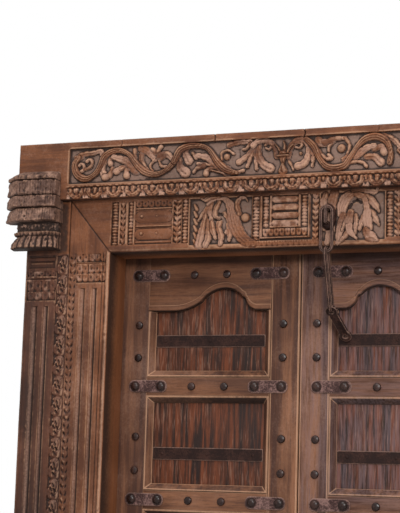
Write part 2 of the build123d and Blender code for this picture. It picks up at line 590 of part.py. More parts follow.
with BuildPart() as meeting_stile:
    block(SIGHT_RIGHT, -LEAF_GAP / 2, LEAF_FRONT, LEAF_BACK, LEAF_BOTTOM, LEAF_TOP)
    meeting_edges = meeting_stile.edges().filter_by(Axis.Z).group_by(Axis.Y)[0]
    chamfer(meeting_edges, length=LEAF_GAP)
save_pair("meeting_stile", meeting_stile.part)

# Ogee arch from the hinge side to the meeting side, as shares of the sight width and of the rise
ARCH_FOOT_SHARE = 0.22
ARCH_HEEL_SHARE = 0.88
ARCH_CURVE_SHARES = (((0.22, 0.0), (0.34, 0.14), (0.43, 0.42)),
                     ((0.43, 0.42), (0.52, 0.85), (0.63, 1.0)),
                     ((0.63, 1.0), (0.71, 0.89), (0.77, 0.62)),
                     ((0.77, 0.62), (0.79, 0.56), (0.80, 0.44)),
                     ((0.80, 0.44), (0.83, 0.16), (0.88, 0.0)))


def arch_curves(lift):
    """Arch over the upper panel, raised by a lift, in the line in hand."""
    def spot(share):
        return (SIGHT_LEFT + share[0] * SIGHT_WIDTH, SHOULDER + share[1] * ARCH_RISE + lift)

    Line((SIGHT_LEFT, SHOULDER + lift), spot((ARCH_FOOT_SHARE, 0)))
    for first, middle, last in ARCH_CURVE_SHARES:
        ThreePointArc(spot(first), spot(middle), spot(last))
    Line(spot((ARCH_HEEL_SHARE, 0)), (SIGHT_RIGHT, SHOULDER + lift))


with BuildPart() as top_rail:
    with BuildSketch(front_plane(LEAF_BACK)):
        with BuildLine():
            arch_curves(0)
            Polyline((SIGHT_RIGHT, SHOULDER), (SIGHT_RIGHT, LEAF_TOP),
                     (SIGHT_LEFT, LEAF_TOP), (SIGHT_LEFT, SHOULDER))
        make_face()
    extrude(amount=LEAF_THICKNESS)
    with BuildSketch(front_plane(LEAF_FRONT + OVERRUN)):
        with BuildLine():
            arch_curves(0)
            arch_curves(ARCH_LIP)
            Line((SIGHT_LEFT, SHOULDER), (SIGHT_LEFT, SHOULDER + ARCH_LIP))
            Line((SIGHT_RIGHT, SHOULDER), (SIGHT_RIGHT, SHOULDER + ARCH_LIP))
        make_face()
    extrude(amount=ARCH_LIP_PROUD + OVERRUN)
save_pair("top_rail", top_rail.part)

# Cross rails under the stud rows
for index, row in enumerate(ROWS[1:-1], start=1):
    with BuildPart() as rail:
        block(SIGHT_LEFT, SIGHT_RIGHT, LEAF_FRONT, LEAF_BACK, row - RAIL_HEIGHT / 2, row + RAIL_HEIGHT / 2)
    save_pair(f"rail_{index}", rail.part)

with BuildPart() as bottom_rail:
    block(SIGHT_LEFT, SIGHT_RIGHT, LEAF_FRONT, LEAF_BACK, LEAF_BOTTOM, BOTTOM_ROW + RAIL_HEIGHT / 2)
save_pair("bottom_rail", bottom_rail.part)

# Panels set back between the rails, the upper one rising into the arch
with BuildPart() as arched_panel:
    with BuildSketch(front_plane(PANEL_BACK)):
        with BuildLine():
            arch_curves(0)
            Polyline((SIGHT_RIGHT, SHOULDER), (SIGHT_RIGHT, ROWS[1] + RAIL_HEIGHT / 2),
                     (SIGHT_LEFT, ROWS[1] + RAIL_HEIGHT / 2), (SIGHT_LEFT, SHOULDER))
        make_face()
    extrude(amount=PANEL_THICKNESS)
save_pair("panel_1", arched_panel.part)

for index in range(1, PANEL_COUNT):
    with BuildPart() as panel:
        block(SIGHT_LEFT, SIGHT_RIGHT, PANEL_FRONT, PANEL_BACK,
              ROWS[index + 1] + RAIL_HEIGHT / 2, ROWS[index] - RAIL_HEIGHT / 2)
    save_pair(f"panel_{index + 1}", panel.part)

# Mitred mouldings round the panels, with a raised bead and a splayed slope down to the panel
MOULDING_SHARES = ((0, -0.94), (0.2, -1), (0.45, -0.78), (1, -0.16), (1, 0), (0, 0))
MOULDING_DEPTH = PANEL_RECESS + MOULDING_PROUD

with BuildPart() as mouldings:
    for index in range(PANEL_COUNT):
        sight_bottom = ROWS[index + 1] + RAIL_HEIGHT / 2
        sight_top = ROWS[index] - RAIL_HEIGHT / 2 if index else SHOULDER
        with BuildLine(front_plane(PANEL_FRONT)):
            Polyline((SIGHT_LEFT, sight_top), (SIGHT_LEFT, sight_bottom), (SIGHT_RIGHT, sight_bottom),
                     (SIGHT_RIGHT, sight_top), close=index > 0)
        section_plane = Plane((SIGHT_LEFT, PANEL_FRONT, sight_top), x_dir=(1, 0, 0), z_dir=(0, 0, 1))
        with BuildSketch(section_plane):
            Polygon(*scaled(MOULDING_SHARES, MOULDING_WIDTH, MOULDING_DEPTH), align=None)
        sweep(transition=Transition.RIGHT)
save_pair("panel_mouldings", mouldings.part)

# Iron corner straps across the joints of rails and stiles, with canted ends
STRAP_STUD_SPREAD = 84.0
STRAP_HINGE_SHIFT = 5.0
STRAP_MEETING_SHIFT = 11.0
STRAP_PLACES = (SIGHT_LEFT + STRAP_HINGE_SHIFT, SIGHT_RIGHT - STRAP_MEETING_SHIFT + STRAP_HINGE_SHIFT)

half_length = STRAP_LENGTH / 2
half_height = STRAP_HEIGHT / 2
STRAP_OUTLINE = [(side * (half_length - inset), rise) for side, inset, rise in
                 ((-1, STRAP_CHAMFER, -half_height), (1, STRAP_CHAMFER, -half_height),
                  (1, 0, STRAP_CHAMFER - half_height), (1, 0, half_height - STRAP_CHAMFER),
                  (1, STRAP_CHAMFER, half_height), (-1, STRAP_CHAMFER, half_height),
                  (-1, 0, half_height - STRAP_CHAMFER), (-1, 0, STRAP_CHAMFER - half_height))]

with BuildPart() as corner_straps:
    with BuildSketch(front_plane(LEAF_FRONT)):
        with Locations(*[(place, row) for row in ROWS for place in STRAP_PLACES]):
            Polygon(*STRAP_OUTLINE, align=None)
    extrude(amount=IRON_THICKNESS)
save_pair("corner_straps", corner_straps.part)

# Iron bands across the panels
BAND_SHARE = 0.592
BAND_ROWS = [row - ROW_PITCH * BAND_SHARE for row in ROWS[:-1]]

with BuildPart() as panel_straps:
    with BuildSketch(front_plane(PANEL_FRONT)):
        for row in BAND_ROWS:
            plate(SIGHT_LEFT + MOULDING_WIDTH, SIGHT_RIGHT - MOULDING_WIDTH,
                  row - STRAP_HEIGHT / 2, row + STRAP_HEIGHT / 2)
    extrude(amount=IRON_THICKNESS)
save_pair("panel_straps", panel_straps.part)

# Faceted iron studs: two on each strap, two between the straps and pairs down the stiles
RAIL_STUD_SHARES = (0.37, 0.635)
STILE_STUD_SHARES = (0.45, 0.745)
STILE_STUD_INSET = 53.0
STUD_SIDES = 5

STRAP_STUDS = [(place + side * STRAP_STUD_SPREAD / 2, row)
               for row in ROWS for place in STRAP_PLACES for side in LEFT_AND_RIGHT]
WOOD_STUDS = [(SIGHT_LEFT + share * SIGHT_WIDTH, row) for row in ROWS for share in RAIL_STUD_SHARES]
WOOD_STUDS += [(place, row - share * ROW_PITCH) for row in ROWS[:-1] for share in STILE_STUD_SHARES
               for place in (STILE_STUD_INSET - OPENING_EDGE, -STILE_STUD_INSET)]

with BuildPart() as stud:
    with BuildSketch(front_plane(0)):
        RegularPolygon(STUD_RADIUS, STUD_SIDES)
    extrude(amount=STUD_HEIGHT)
    draft(stud.faces().filter_by(Axis.Y, reverse=True), front_plane(0), STUD_SLOPE)

with BuildPart() as studs:
    with Locations(*[(across, LEAF_FRONT - IRON_THICKNESS, row) for across, row in STRAP_STUDS]):
        add(stud.part)
    with Locations(*[(across, LEAF_FRONT, row) for across, row in WOOD_STUDS]):
        add(stud.part)
save_pair("studs", studs.part)

# Chain: a staple in the head, two long links and a hasp whose eye sits over a peg on the right leaf.
# The chain lies in one upright plane down to the hasp, which leans over to the peg.
BOW_CENTRE_RADIUS = LINK_WIDTH / 2 - WIRE_RADIUS
CHAIN_Y = FRAME_FRONT - CHAIN_STANDOFF
LINK_STEP = 2 * WIRE_RADIUS + LINK_CLEARANCE
LINK_1_TOP = Vector(CHAIN_OFFSET, CHAIN_Y, STAPLE_Z + LINK_STEP)
LINK_1_FOOT = LINK_1_TOP - Vector(0, 0, LINK_1_LENGTH - 2 * WIRE_RADIUS)
LINK_2_RUN = Vector(0, sin(radians(LINK_2_TILT)), -cos(radians(LINK_2_TILT)))
LINK_2_TOP = LINK_1_FOOT - LINK_2_RUN * LINK_STEP
LINK_2_FOOT = LINK_2_TOP + LINK_2_RUN * (LINK_2_LENGTH - 2 * WIRE_RADIUS)

with BuildPart() as lintel_staple:
    staple_root = FRAME_FRONT + STAPLE_ROOT
    staple_nose = FRAME_FRONT - STAPLE_REACH + WIRE_RADIUS
    with BuildLine(Plane.YZ.offset(CHAIN_OFFSET)):
        bend = Polyline((staple_root, STAPLE_Z), (staple_nose, STAPLE_Z),
                        (staple_nose, STAPLE_FOOT_Z), (staple_root, STAPLE_FOOT_Z))
    with BuildSketch(Plane(bend @ 0, x_dir=(1, 0, 0), z_dir=bend % 0)):
        RegularPolygon(WIRE_RADIUS, WIRE_SIDES, rotation=180 / WIRE_SIDES)
    sweep(transition=Transition.RIGHT)
save("lintel_staple", lintel_staple.part)


def chain_link(name, top, run, normal, length):
    """Closed link of forged rod, from the middle of its upper bow along its run."""
    straight = length - LINK_WIDTH
    plane = Plane(top + run * BOW_CENTRE_RADIUS, x_dir=normal.cross(run), z_dir=normal)
    drop = (plane.to_local_coords(top + run)).Y - (plane.to_local_coords(top)).Y
    foot = drop * straight
    with BuildPart() as link:
        with BuildLine(plane):
            side = Line((BOW_CENTRE_RADIUS, foot / 2), (BOW_CENTRE_RADIUS, 0))
            ThreePointArc((BOW_CENTRE_RADIUS, 0), (0, -drop * BOW_CENTRE_RADIUS), (-BOW_CENTRE_RADIUS, 0))
            Line((-BOW_CENTRE_RADIUS, 0), (-BOW_CENTRE_RADIUS, foot))
            ThreePointArc((-BOW_CENTRE_RADIUS, foot), (0, foot + drop * BOW_CENTRE_RADIUS),
                          (BOW_CENTRE_RADIUS, foot))
            Line((BOW_CENTRE_RADIUS, foot), (BOW_CENTRE_RADIUS, foot / 2))
        with BuildSketch(Plane(side @ 0, x_dir=normal, z_dir=side % 0)):
            RegularPolygon(WIRE_RADIUS, WIRE_SIDES, rotation=180 / WIRE_SIDES)
        sweep()
    save(name, link.part)


chain_link("chain_link_1", LINK_1_TOP, Vector(0, 0, -1), Vector(0, 1, 0), LINK_1_LENGTH)
chain_link("chain_link_2", LINK_2_TOP, LINK_2_RUN, Vector(1, 0, 0), LINK_2_LENGTH)

# Peg riveted to the right leaf's upper band, and the hasp that reaches it
PEG_X = -SIGHT_RIGHT + MOULDING_WIDTH + PEG_INSET
PEG_Z = BAND_ROWS[0] + PEG_RISE
PEG_SEAT = PANEL_FRONT - IRON_THICKNESS
HASP_FOOT = Vector(PEG_X, PEG_SEAT - PEG_HASP_REACH, PEG_Z)
HASP_RUN = (HASP_FOOT - LINK_2_FOOT).normalized()
HASP_HEAD = LINK_2_FOOT + HASP_RUN * HASP_SLACK
HASP_LENGTH = (HASP_FOOT - HASP_HEAD).length
PEG_SIDES = 10

with BuildPart() as leaf_peg:
    with BuildSketch(front_plane(PEG_SEAT)):
        with Locations((PEG_X, PEG_Z)):
            RegularPolygon(PEG_RADIUS, PEG_SIDES)
    extrude(amount=PEG_LENGTH)
    with BuildSketch(front_plane(PEG_SEAT)):
        with Locations((PEG_X, PEG_Z)):
            RegularPolygon(2 * PEG_RADIUS, PEG_SIDES)
    extrude(amount=PEG_RADIUS)
save("leaf_peg", leaf_peg.part)

hasp_across = Vector(1, 0, 0) - HASP_RUN * HASP_RUN.X
hasp_plane = Plane(HASP_HEAD, x_dir=hasp_across, z_dir=hasp_across.cross(HASP_RUN * -1))
with BuildPart() as hasp:
    with BuildSketch(hasp_plane.offset(-HASP_THICKNESS / 2)):
        with Locations((0, -HASP_LENGTH / 2)):
            Rectangle(HASP_BAR_WIDTH, HASP_LENGTH)
        with Locations((0, 0), (0, -HASP_LENGTH)):
            RegularPolygon(HASP_EYE_RADIUS, ROUND_SIDES)
            RegularPolygon(HASP_HOLE_RADIUS, ROUND_SIDES, mode=Mode.SUBTRACT)
    extrude(amount=HASP_THICKNESS)
save("chain_hasp", hasp.part)
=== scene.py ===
"""Looks of a carved temple door: deep-carved teak frame, studded leaves and a forged chain."""
import math

import bmesh
import bpy
import numpy as np
from mathutils import Matrix, Vector


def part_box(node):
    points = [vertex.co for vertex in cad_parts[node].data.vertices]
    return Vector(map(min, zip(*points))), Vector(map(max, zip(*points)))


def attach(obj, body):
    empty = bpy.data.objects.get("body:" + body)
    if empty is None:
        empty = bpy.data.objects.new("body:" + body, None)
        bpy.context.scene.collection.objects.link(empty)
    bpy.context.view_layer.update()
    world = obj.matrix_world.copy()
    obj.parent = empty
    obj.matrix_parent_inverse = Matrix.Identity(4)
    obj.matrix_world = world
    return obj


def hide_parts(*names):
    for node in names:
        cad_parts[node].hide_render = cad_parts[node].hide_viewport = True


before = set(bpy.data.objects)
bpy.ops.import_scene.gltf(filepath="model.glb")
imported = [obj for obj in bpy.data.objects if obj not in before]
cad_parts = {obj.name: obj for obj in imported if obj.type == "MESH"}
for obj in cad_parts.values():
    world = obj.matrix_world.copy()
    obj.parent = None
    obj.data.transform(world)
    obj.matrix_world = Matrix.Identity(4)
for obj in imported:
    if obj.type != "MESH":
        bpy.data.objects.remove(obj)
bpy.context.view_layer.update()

bl_info = {
    "name": "Carved temple door",
    "version": (1, 0, 0),
    "blender": (4, 5, 0),
    "location": "View3D > Sidebar > Door",
    "description": "Dresses the packed door with carving, worn teak and forged iron",
    "category": "Object",
}

MM = 0.001
SIDES = ("left", "right")


def linear(red, green, blue):
    """Colour as a light level from its red, green and blue on a screen, 0 to 255."""
    return tuple(c / 12.92 if c <= 0.04045 else ((c + 0.055) / 1.055) ** 2.4
                 for c in (red / 255, green / 255, blue / 255))


def span(node):
    """Left, right, front, back, bottom and top of a CAD node, in millimetres."""
    low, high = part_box(node)
    return tuple(round(value / MM, 2) for value in (low.x, high.x, low.y, high.y, low.z, high.z))


# ---------------------------------------------------------------- settings

def number_setting(label, text, value, low, high):
    """Number property with its limits."""
    return bpy.props.FloatProperty(name=label, description=text, default=value, min=low, max=high)


def colour_setting(label, text, value):
    """Colour property with a plain default."""
    return bpy.props.FloatVectorProperty(name=label, description=text, subtype="COLOR",
                                         size=3, min=0.0, max=1.0, default=value)


class DoorCarving(bpy.types.PropertyGroup):
    """How finely and how deep the frame is carved, in millimetres."""
    pitch: number_setting("Carving pitch", "Distance between points of the carved faces", 2.1, 1.5, 8.0)
    ground: number_setting("Frieze ground", "Depth of the sunk ground of the frieze", 9.0, 2.0, 12.0)
    flute: number_setting("Flute depth", "Depth of the flutes on jambs and posts", 6.0, 2.0, 8.0)
    weather: number_setting("Weathering", "How far the old faces wander from true", 0.9, 0.0, 2.0)
    edge: number_setting("Worn edge", "Rounding of the joiner's edges", 2.4, 0.3, 4.0)


class DoorColours(bpy.types.PropertyGroup):
    """Colours of the timber and the ironwork."""
    frame_dark: colour_setting("Frame, dark grain", "Dark grain of the frame", linear(72, 40, 24))
    frame_light: colour_setting("Frame, light grain", "Light grain of the frame", linear(125, 76, 46))
    post_dark: colour_setting("Post, dark grain", "Dark grain of the outer posts", linear(44, 25, 18))
    post_light: colour_setting("Post, light grain", "Light grain of the outer posts", linear(94, 55, 37))
    capital_dark: colour_setting("Capital, dark", "Dark weathered capital", linear(52, 31, 24))
    capital_light: colour_setting("Capital, light", "Grey weathered capital", linear(128, 96, 80))
    leaf_dark: colour_setting("Leaf, dark grain", "Dark grain of stiles and rails", linear(56, 30, 19))
    leaf_light: colour_setting("Leaf, light grain", "Light grain of stiles and rails", linear(124, 82, 57))
    panel_dark: colour_setting("Panel, dark grain", "Dark grain of the panels", linear(30, 15, 10))
    panel_light: colour_setting("Panel, light grain", "Orange grain of the panels", linear(101, 52, 29))
    ground: colour_setting("Sunk ground", "Grey dirt on the ground of the carving", linear(106, 86, 76))
    dust: colour_setting("Dust", "Dust on faces", linear(142, 113, 100))
    # the pale colour also paints the highlight on the lit side of the flutes
    pale: colour_setting("Leaf tips", "Pale dusty tips of carved leaves", linear(156, 121, 103))
    worn: colour_setting("Worn edge", "Timber rubbed bare on edges", linear(172, 132, 104))
    # the grime colour also paints shade: in the cuts, under things, and the shadow of the head on the leaves
    grime_and_shade: colour_setting("Grime", "Dark dirt in the deepest cuts", linear(26, 13, 8))
    ashen: colour_setting("Right leaf, grey", "Grey film on the right leaf", linear(124, 106, 110))
    # the bare colour also lightens the reveals of the jambs as painted light
    bare: colour_setting("Bare side", "Clean red-brown timber of sheltered sides", linear(138, 82, 46))
    iron_dark: colour_setting("Iron, dark", "Blackened iron", linear(30, 17, 14))
    iron_rust: colour_setting("Iron, rust", "Brown rust and dust on iron", linear(74, 48, 40))
    strap_dark: colour_setting("Strap, dark", "Dark iron of the straps", linear(52, 34, 32))
    strap_light: colour_setting("Strap, light", "Dusty iron of the straps", linear(118, 90, 84))


class DoorStage(bpy.types.PropertyGroup):
    """Light and floor round the door."""
    key: number_setting("Key light", "Strength of the low light from front and right", 200.0, 0.0, 2000.0)
    top: number_setting("Top light", "Strength of the broad light from above", 150.0, 0.0, 2000.0)
    back: number_setting("Back light", "Strength of the light on the far side", 110.0, 0.0, 2000.0)
    sky: number_setting("Ambient light", "Light that comes from all round", 0.22, 0.0, 2.0)
    floor: colour_setting("Floor", "Colour of the floor", (0.86, 0.85, 0.84))


# ---------------------------------------------------------------- carving

CUT = 2.6           # width of the cut a carver leaves round a form
CUT_DEPTH = 1.6     # how far that cut goes into the ground
OVERLAP = 0.45      # share of a lower form that stays in such a cut
RIB = 0.42          # share of a form's height that a groove along it takes
RIB_WIDTH = 0.16    # width of such a groove, in half-widths of the form
RIBS = {0: (), 1: (0.3,), 2: (-0.2, 0.42), 3: (-0.5, 0.0, 0.5)}
LOBE = 21.0         # length of one lobe along the edge of a leaf
NOTCH = 0.3         # depth of the notch between two lobes, in half-widths
FOLD = 0.45         # depth of the fold that runs in from a notch, as a share of the height
FULL = 1.42         # how much stouter than drawn the leaves of the frieze are cut
BROAD_RIB = 1.7     # how much broader the few grooves of a lobed leaf are
FLUTE_SHADE, FLUTE_LIT_SIDE = 0.55, -1.2   # painted shade on the shaded side of a flute, and none on its lit side
FLUTE_HIGHLIGHT = 0.55   # pale painted highlight on the lit side of a flute
FULL_RELIEF = 2.4   # height over or under what is round it that counts as a full crest or cut
DEEP_FROM, DEEP_OVER = 3.0, 5.0     # depth where the dirt of the ground starts, and over which it grows
EDGE_ROUND = 4.0    # rounding of the outer edges of a carved face
MARKS = ("crest", "sunk", "deep", "pale", "bare")       # values on a mesh that its paint reads, 0 to 1
BACK_BARE = 0.55    # how bare the timber is on the back of a carved piece
CLOSE = 1e-6        # points nearer than this, in metres, are one point
SHARP_CARVING, SHARP_JOINERY, SHARP_CAPITAL = 0.8, 0.6, 1.0     # angle past which an edge stays sharp


def flowing(points, steps=6):
    """Smooth line through the points."""
    knots = np.array(points, float)
    if len(knots) == 2:
        return knots
    padded = np.vstack((2 * knots[0] - knots[1], knots, 2 * knots[-1] - knots[-2]))
    t = np.linspace(0, 1, steps, endpoint=False)[:, None]
    runs = [b + 0.5 * t * (c - a + t * (2 * a - 5 * b + 4 * c - d + t * (3 * (b - c) + d - a)))
            for a, b, c, d in zip(padded, padded[1:], padded[2:], padded[3:])]
    return np.vstack(runs + [knots[-1:]])


def rounding(inside, radius):
    """How far a rounded edge falls away at a distance inside it."""
    dip = np.clip(1 - inside / radius, 0, 1)
    return radius * (1 - np.sqrt(np.clip(1 - dip ** 2, 0, 1)))


def notch(rest):
    """How deep the edge of a leaf is notched at a distance from its tip, 0 to 1."""
    return (1 - np.abs(np.cos(np.pi * rest / LOBE))) ** 2


class Relief:
    """Carved face: heights in millimetres on an even grid across X and up Z."""

    def __init__(self, left, right, bottom, top, pitch):
        self.columns = round((right - left) / pitch)
        self.rows = round((top - bottom) / pitch)
        self.x = np.linspace(left, right, self.columns + 1)
        self.z = np.linspace(bottom, top, self.rows + 1)
        self.height = np.zeros((self.rows + 1, self.columns + 1))
        self.pale, self.dirt, self.bare = (np.zeros_like(self.height) for _ in range(3))

    def patch(self, left, right, bottom, top):
        """Slices of the grid inside a rectangle, and the places of its points."""
        columns = slice(*np.searchsorted(self.x, (left, right)))
        rows = slice(*np.searchsorted(self.z, (bottom, top)))
        return (rows, columns), *np.meshgrid(self.x[columns], self.z[rows])

    def flat(self, left, right, bottom, top, height):
        """Rectangle at one height."""
        window, _, _ = self.patch(left, right, bottom, top)
        self.height[window] = height

    def along(self, points, widths, lobed=False):
        """Patch round a line: each point's way off it in half-widths, past its edge and left to its end."""
        line = flowing(points)
        steps = np.linalg.norm(np.diff(line, axis=0), axis=1)
        rest = steps.sum() - np.concatenate(([0.0], np.cumsum(steps)))
        half = np.interp(rest[0] - rest, np.linspace(0, rest[0], len(widths)), widths)
        if lobed:
            half *= 1 - NOTCH * notch(rest)
        reach = half.max() + CUT
        (x0, z0), (x1, z1) = line.min(0) - reach, line.max(0) + reach
        window, x, z = self.patch(x0, x1, z0, z1)
        across, past, left = np.full(x.shape, np.inf), np.full(x.shape, np.inf), np.zeros(x.shape)
        for a, b, r0, r1, w0, w1 in zip(line, line[1:], half, half[1:], rest, rest[1:]):
            run, dx, dz = b - a, x - a[0], z - a[1]
            t = np.clip((dx * run[0] + dz * run[1]) / (run @ run), 0, 1)
            away = np.hypot(dx - t * run[0], dz - t * run[1])
            radius = r0 + (r1 - r0) * t
            nearer = away / radius < np.abs(across)
            across = np.where(nearer, np.copysign(away / radius, dx * run[1] - dz * run[0]), across)
            left = np.where(nearer, w0 + (w1 - w0) * t, left)
            past = np.minimum(past, away - radius)
        return window, across, past, left / rest[0], rest[0]

    def lay(self, window, section, past, floor, top):
        """Lay a form over what is there and cut round it."""
        ground = self.height[window]
        near = np.clip(1 - past / CUT, 0, 1)
        kept = np.where(ground > floor, floor + (ground - floor) * OVERLAP, ground - CUT_DEPTH)
        eased = ground + (kept - ground) * near
        self.height[window] = np.where(past < 0, np.maximum(floor + (top - floor) * section, kept), eased)

    def stroke(self, points, widths, floor, top, ribs=0, rise=0.0, pale=0.0):
        """Rounded form along a line, with grooves; a rise makes it a lobed leaf, pale dusts its tip."""
        window, across, past, left, length = self.along(points, widths, rise > 0)
        section = np.clip(1 - across ** 2, 0, 1) ** 0.5
        width = RIB_WIDTH * (BROAD_RIB if rise and ribs < 3 else 1)
        for rib in RIBS[ribs]:
            section *= 1 - RIB * np.exp(-((across - rib) / width) ** 2)
        if rise:
            section *= 1 - FOLD * notch(left * length) * np.clip(np.abs(across), 0, 1)
        self.lay(window, section, past, floor, top - rise * left)
        self.pale[window] = np.where(past < 0, pale * (1 - left), self.pale[window])

    def ball(self, x, z, radius, floor, top):
        """Round knob."""
        reach = radius + CUT
        window, px, pz = self.patch(x - reach, x + reach, z - reach, z + reach)
        away = np.hypot(px - x, pz - z)
        self.lay(window, np.sqrt(np.clip(1 - (away / radius) ** 2, 0, 1)), away - radius, floor, top)

    def groove(self, points, half, depth):
        """Hollow cut along a line."""
        window, across, *_ = self.along(points, (half, half))
        self.height[window] -= depth * np.sqrt(np.clip(1 - across ** 2, 0, 1))

    def channel(self, x, bottom, top, half, depth):
        """Upright flute with square ends, painted shade on one side and a painted highlight on the other."""
        window, px, _ = self.patch(x - half, x + half, bottom, top)
        self.height[window] -= depth * np.sqrt(np.clip(1 - ((px - x) / half) ** 2, 0, 1))
        # painted shade on the right of the flute; its left is kept clean and takes a pale painted highlight
        self.dirt[window] = np.where(px > x + half * 0.1, FLUTE_SHADE, FLUTE_LIT_SIDE)
        self.pale[window] = np.where(px > x - half * 0.2, 0.0, FLUTE_HIGHLIGHT)

    def cells(self, left, right, bottom, top, count):
        """Patch split into like cells: place across each, -1 to 1, and down from the top, 0 to 1."""
        window, x, z = self.patch(left, right, bottom, top)
        return window, (x - left) / (right - left) * count % 1 * 2 - 1, (top - z) / (top - bottom)

    def petals(self, left, right, bottom, top, count, floor, crest):
        """Row of hanging petals, each hollowed in its middle."""
        window, u, v = self.cells(left, right, bottom, top, count)
        body = np.clip(1.1 - np.abs(u) ** 2.4 - v ** 4, 0, 1) ** 0.5
        body *= 1 - 0.75 * np.exp(-(u / 0.42) ** 2 - ((v - 0.42) / 0.3) ** 2)
        self.height[window] = floor + (crest - floor) * body

    def beads(self, x, bottom, top, width, count, floor, crest):
        """Upright string of beads."""
        window, px, pz = self.patch(x - width / 2, x + width / 2, bottom, top)
        turn = (pz - bottom) / (top - bottom) * count % 1 * 2 - 1
        body = np.clip(1 - ((px - x) / width * 2) ** 2 - 0.85 * turn ** 2, 0, 1) ** 0.5
        self.height[window] = floor + (crest - floor) * body

    def sprig(self, x, bottom, top, width, count, floor, crest):
        """Upright string of leaves that lean to either side of a stem."""
        window, px, pz = self.patch(x - width / 2, x + width / 2, bottom, top)
        u = (px - x) / width * 2
        turn = ((pz - bottom) / (top - bottom) * count - 0.55 * np.abs(u)) % 1
        body = np.clip(np.sin(np.pi * turn) - 0.55 * np.abs(u) ** 4, 0, 1) ** 0.6
        body = np.maximum(body, np.clip(1 - (u / 0.2) ** 2, 0, 1) ** 0.5)
        self.height[window] = floor + (crest - floor) * body

    def band(self, fill, x, bottom, top, width, count, floor, rough, seed):
        """Sunk upright band, filled with beads or leaves and worn."""
        self.flat(x - width / 2, x + width / 2, bottom, top, floor)
        fill(x, bottom, top, width - 2, count, floor, 0)
        self.roughen(x - width / 2, x + width / 2, bottom, top, rough, seed)

    def roughen(self, left, right, bottom, top, amount, seed):
        """Gnaw at a worn area with fine uneven cuts."""
        window, _, _ = self.patch(left, right, bottom, top)
        rng = np.random.default_rng(seed)
        field = self.drift(5, rng) + 0.8 * self.drift(9, rng)
        self.height[window] += amount * field[window]
        self.pale[window] = np.clip(self.pale[window] + 0.2 + 0.7 * self.drift(14, rng)[window], 0, 1)

    def drift(self, size, rng):
        """Smooth random field about zero that changes over a given distance."""
        across = np.arange(self.x[0], self.x[-1] + 2 * size, size)
        up = np.arange(self.z[0], self.z[-1] + 2 * size, size)
        knots = rng.uniform(-1, 1, (len(up), len(across)))
        rows = np.array([np.interp(self.x, across, row) for row in knots])
        return np.array([np.interp(self.z, up, column) for column in rows.T]).T

    def weather(self, amount, seed):
        """Wear the face: broad dips, fine tool marks and a few chips."""
        rng = np.random.default_rng(seed)
        for size, share in ((140, 0.7), (45, 0.45), (16, 0.4), (6, 0.4)):
            self.height += amount * share * self.drift(size, rng)
        chips = np.clip(self.drift(26, rng) + self.drift(11, rng) - 1.15, 0, 1)
        self.height -= 6 * amount * chips

    def round_edges(self):
        """Ease the outer edges of the face."""
        x, z = np.meshgrid(self.x, self.z)
        inside = np.minimum.reduce((x - self.x[0], self.x[-1] - x, z - self.z[0], self.z[-1] - z))
        self.height -= rounding(inside, EDGE_ROUND)

    def marks(self):
        """Named values for the paint: crests, cuts that take dirt and painted shade, sunk ground, pale dust
        and painted highlight, bare wood, 0 to 1.
        """
        def soften(field, reach):
            for axis in (0, 1):
                margin = [(reach, reach) if axis == turn else (0, 0) for turn in (0, 1)]
                padded = np.pad(field, margin, mode="edge")
                length = field.shape[axis]
                field = sum(np.take(padded, range(shift, shift + length), axis)
                            for shift in range(2 * reach + 1)) / (2 * reach + 1)
            return field
        above = (self.height - soften(soften(self.height, 3), 2)) / FULL_RELIEF
        deep = (-self.height - DEEP_FROM) / DEEP_OVER
        fields = (above, self.dirt - above, deep, self.pale, self.bare)
        return {label: np.clip(field, 0, 1) for label, field in zip(MARKS, fields)}


def grid_mesh(name, relief, place):
    """Even grid of faces laid out by place(row, column), with the marks of the relief on it."""
    bm = bmesh.new()
    bmesh.ops.create_grid(bm, x_segments=relief.columns, y_segments=relief.rows, size=0.5)
    mesh = bpy.data.meshes.new(name)
    bm.to_mesh(mesh)
    flat = np.empty(len(mesh.vertices) * 3)
    mesh.vertices.foreach_get("co", flat)
    flat = flat.reshape(-1, 3)
    column = np.rint((flat[:, 0] + 0.5) * relief.columns).astype(int)
    row = np.rint((flat[:, 1] + 0.5) * relief.rows).astype(int)
    mesh.vertices.foreach_set("co", (np.stack(place(row, column), 1) * MM).ravel())
    for label, field in relief.marks().items():
        mesh.attributes.new(label, "FLOAT", "POINT").data.foreach_set("value", field[row, column])
    bm.clear()
    bm.from_mesh(mesh)
    return mesh, bm


def finish_mesh(mesh, bm, material, sharp):
    """Close up a mesh: open rims filled, outward normals, smooth faces and sharp corners."""
    bmesh.ops.holes_fill(bm, edges=[edge for edge in bm.edges if edge.is_boundary], sides=0)
    bmesh.ops.recalc_face_normals(bm, faces=bm.faces)
    if bm.calc_volume(signed=True) < 0:
        bmesh.ops.reverse_faces(bm, faces=bm.faces)
    bm.to_mesh(mesh)
    bm.free()
    mesh.polygons.foreach_set("use_smooth", [True] * len(mesh.polygons))
    mesh.set_sharp_from_angle(angle=sharp)
    mesh.materials.append(material)


def piece(mesh, body, slot, *nodes):
    """Object that rides a body and stands in for its CAD nodes."""
    made = bpy.data.objects.new(mesh.name, mesh)
    bpy.context.scene.collection.objects.link(made)
    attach(made, body)
    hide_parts(*nodes)


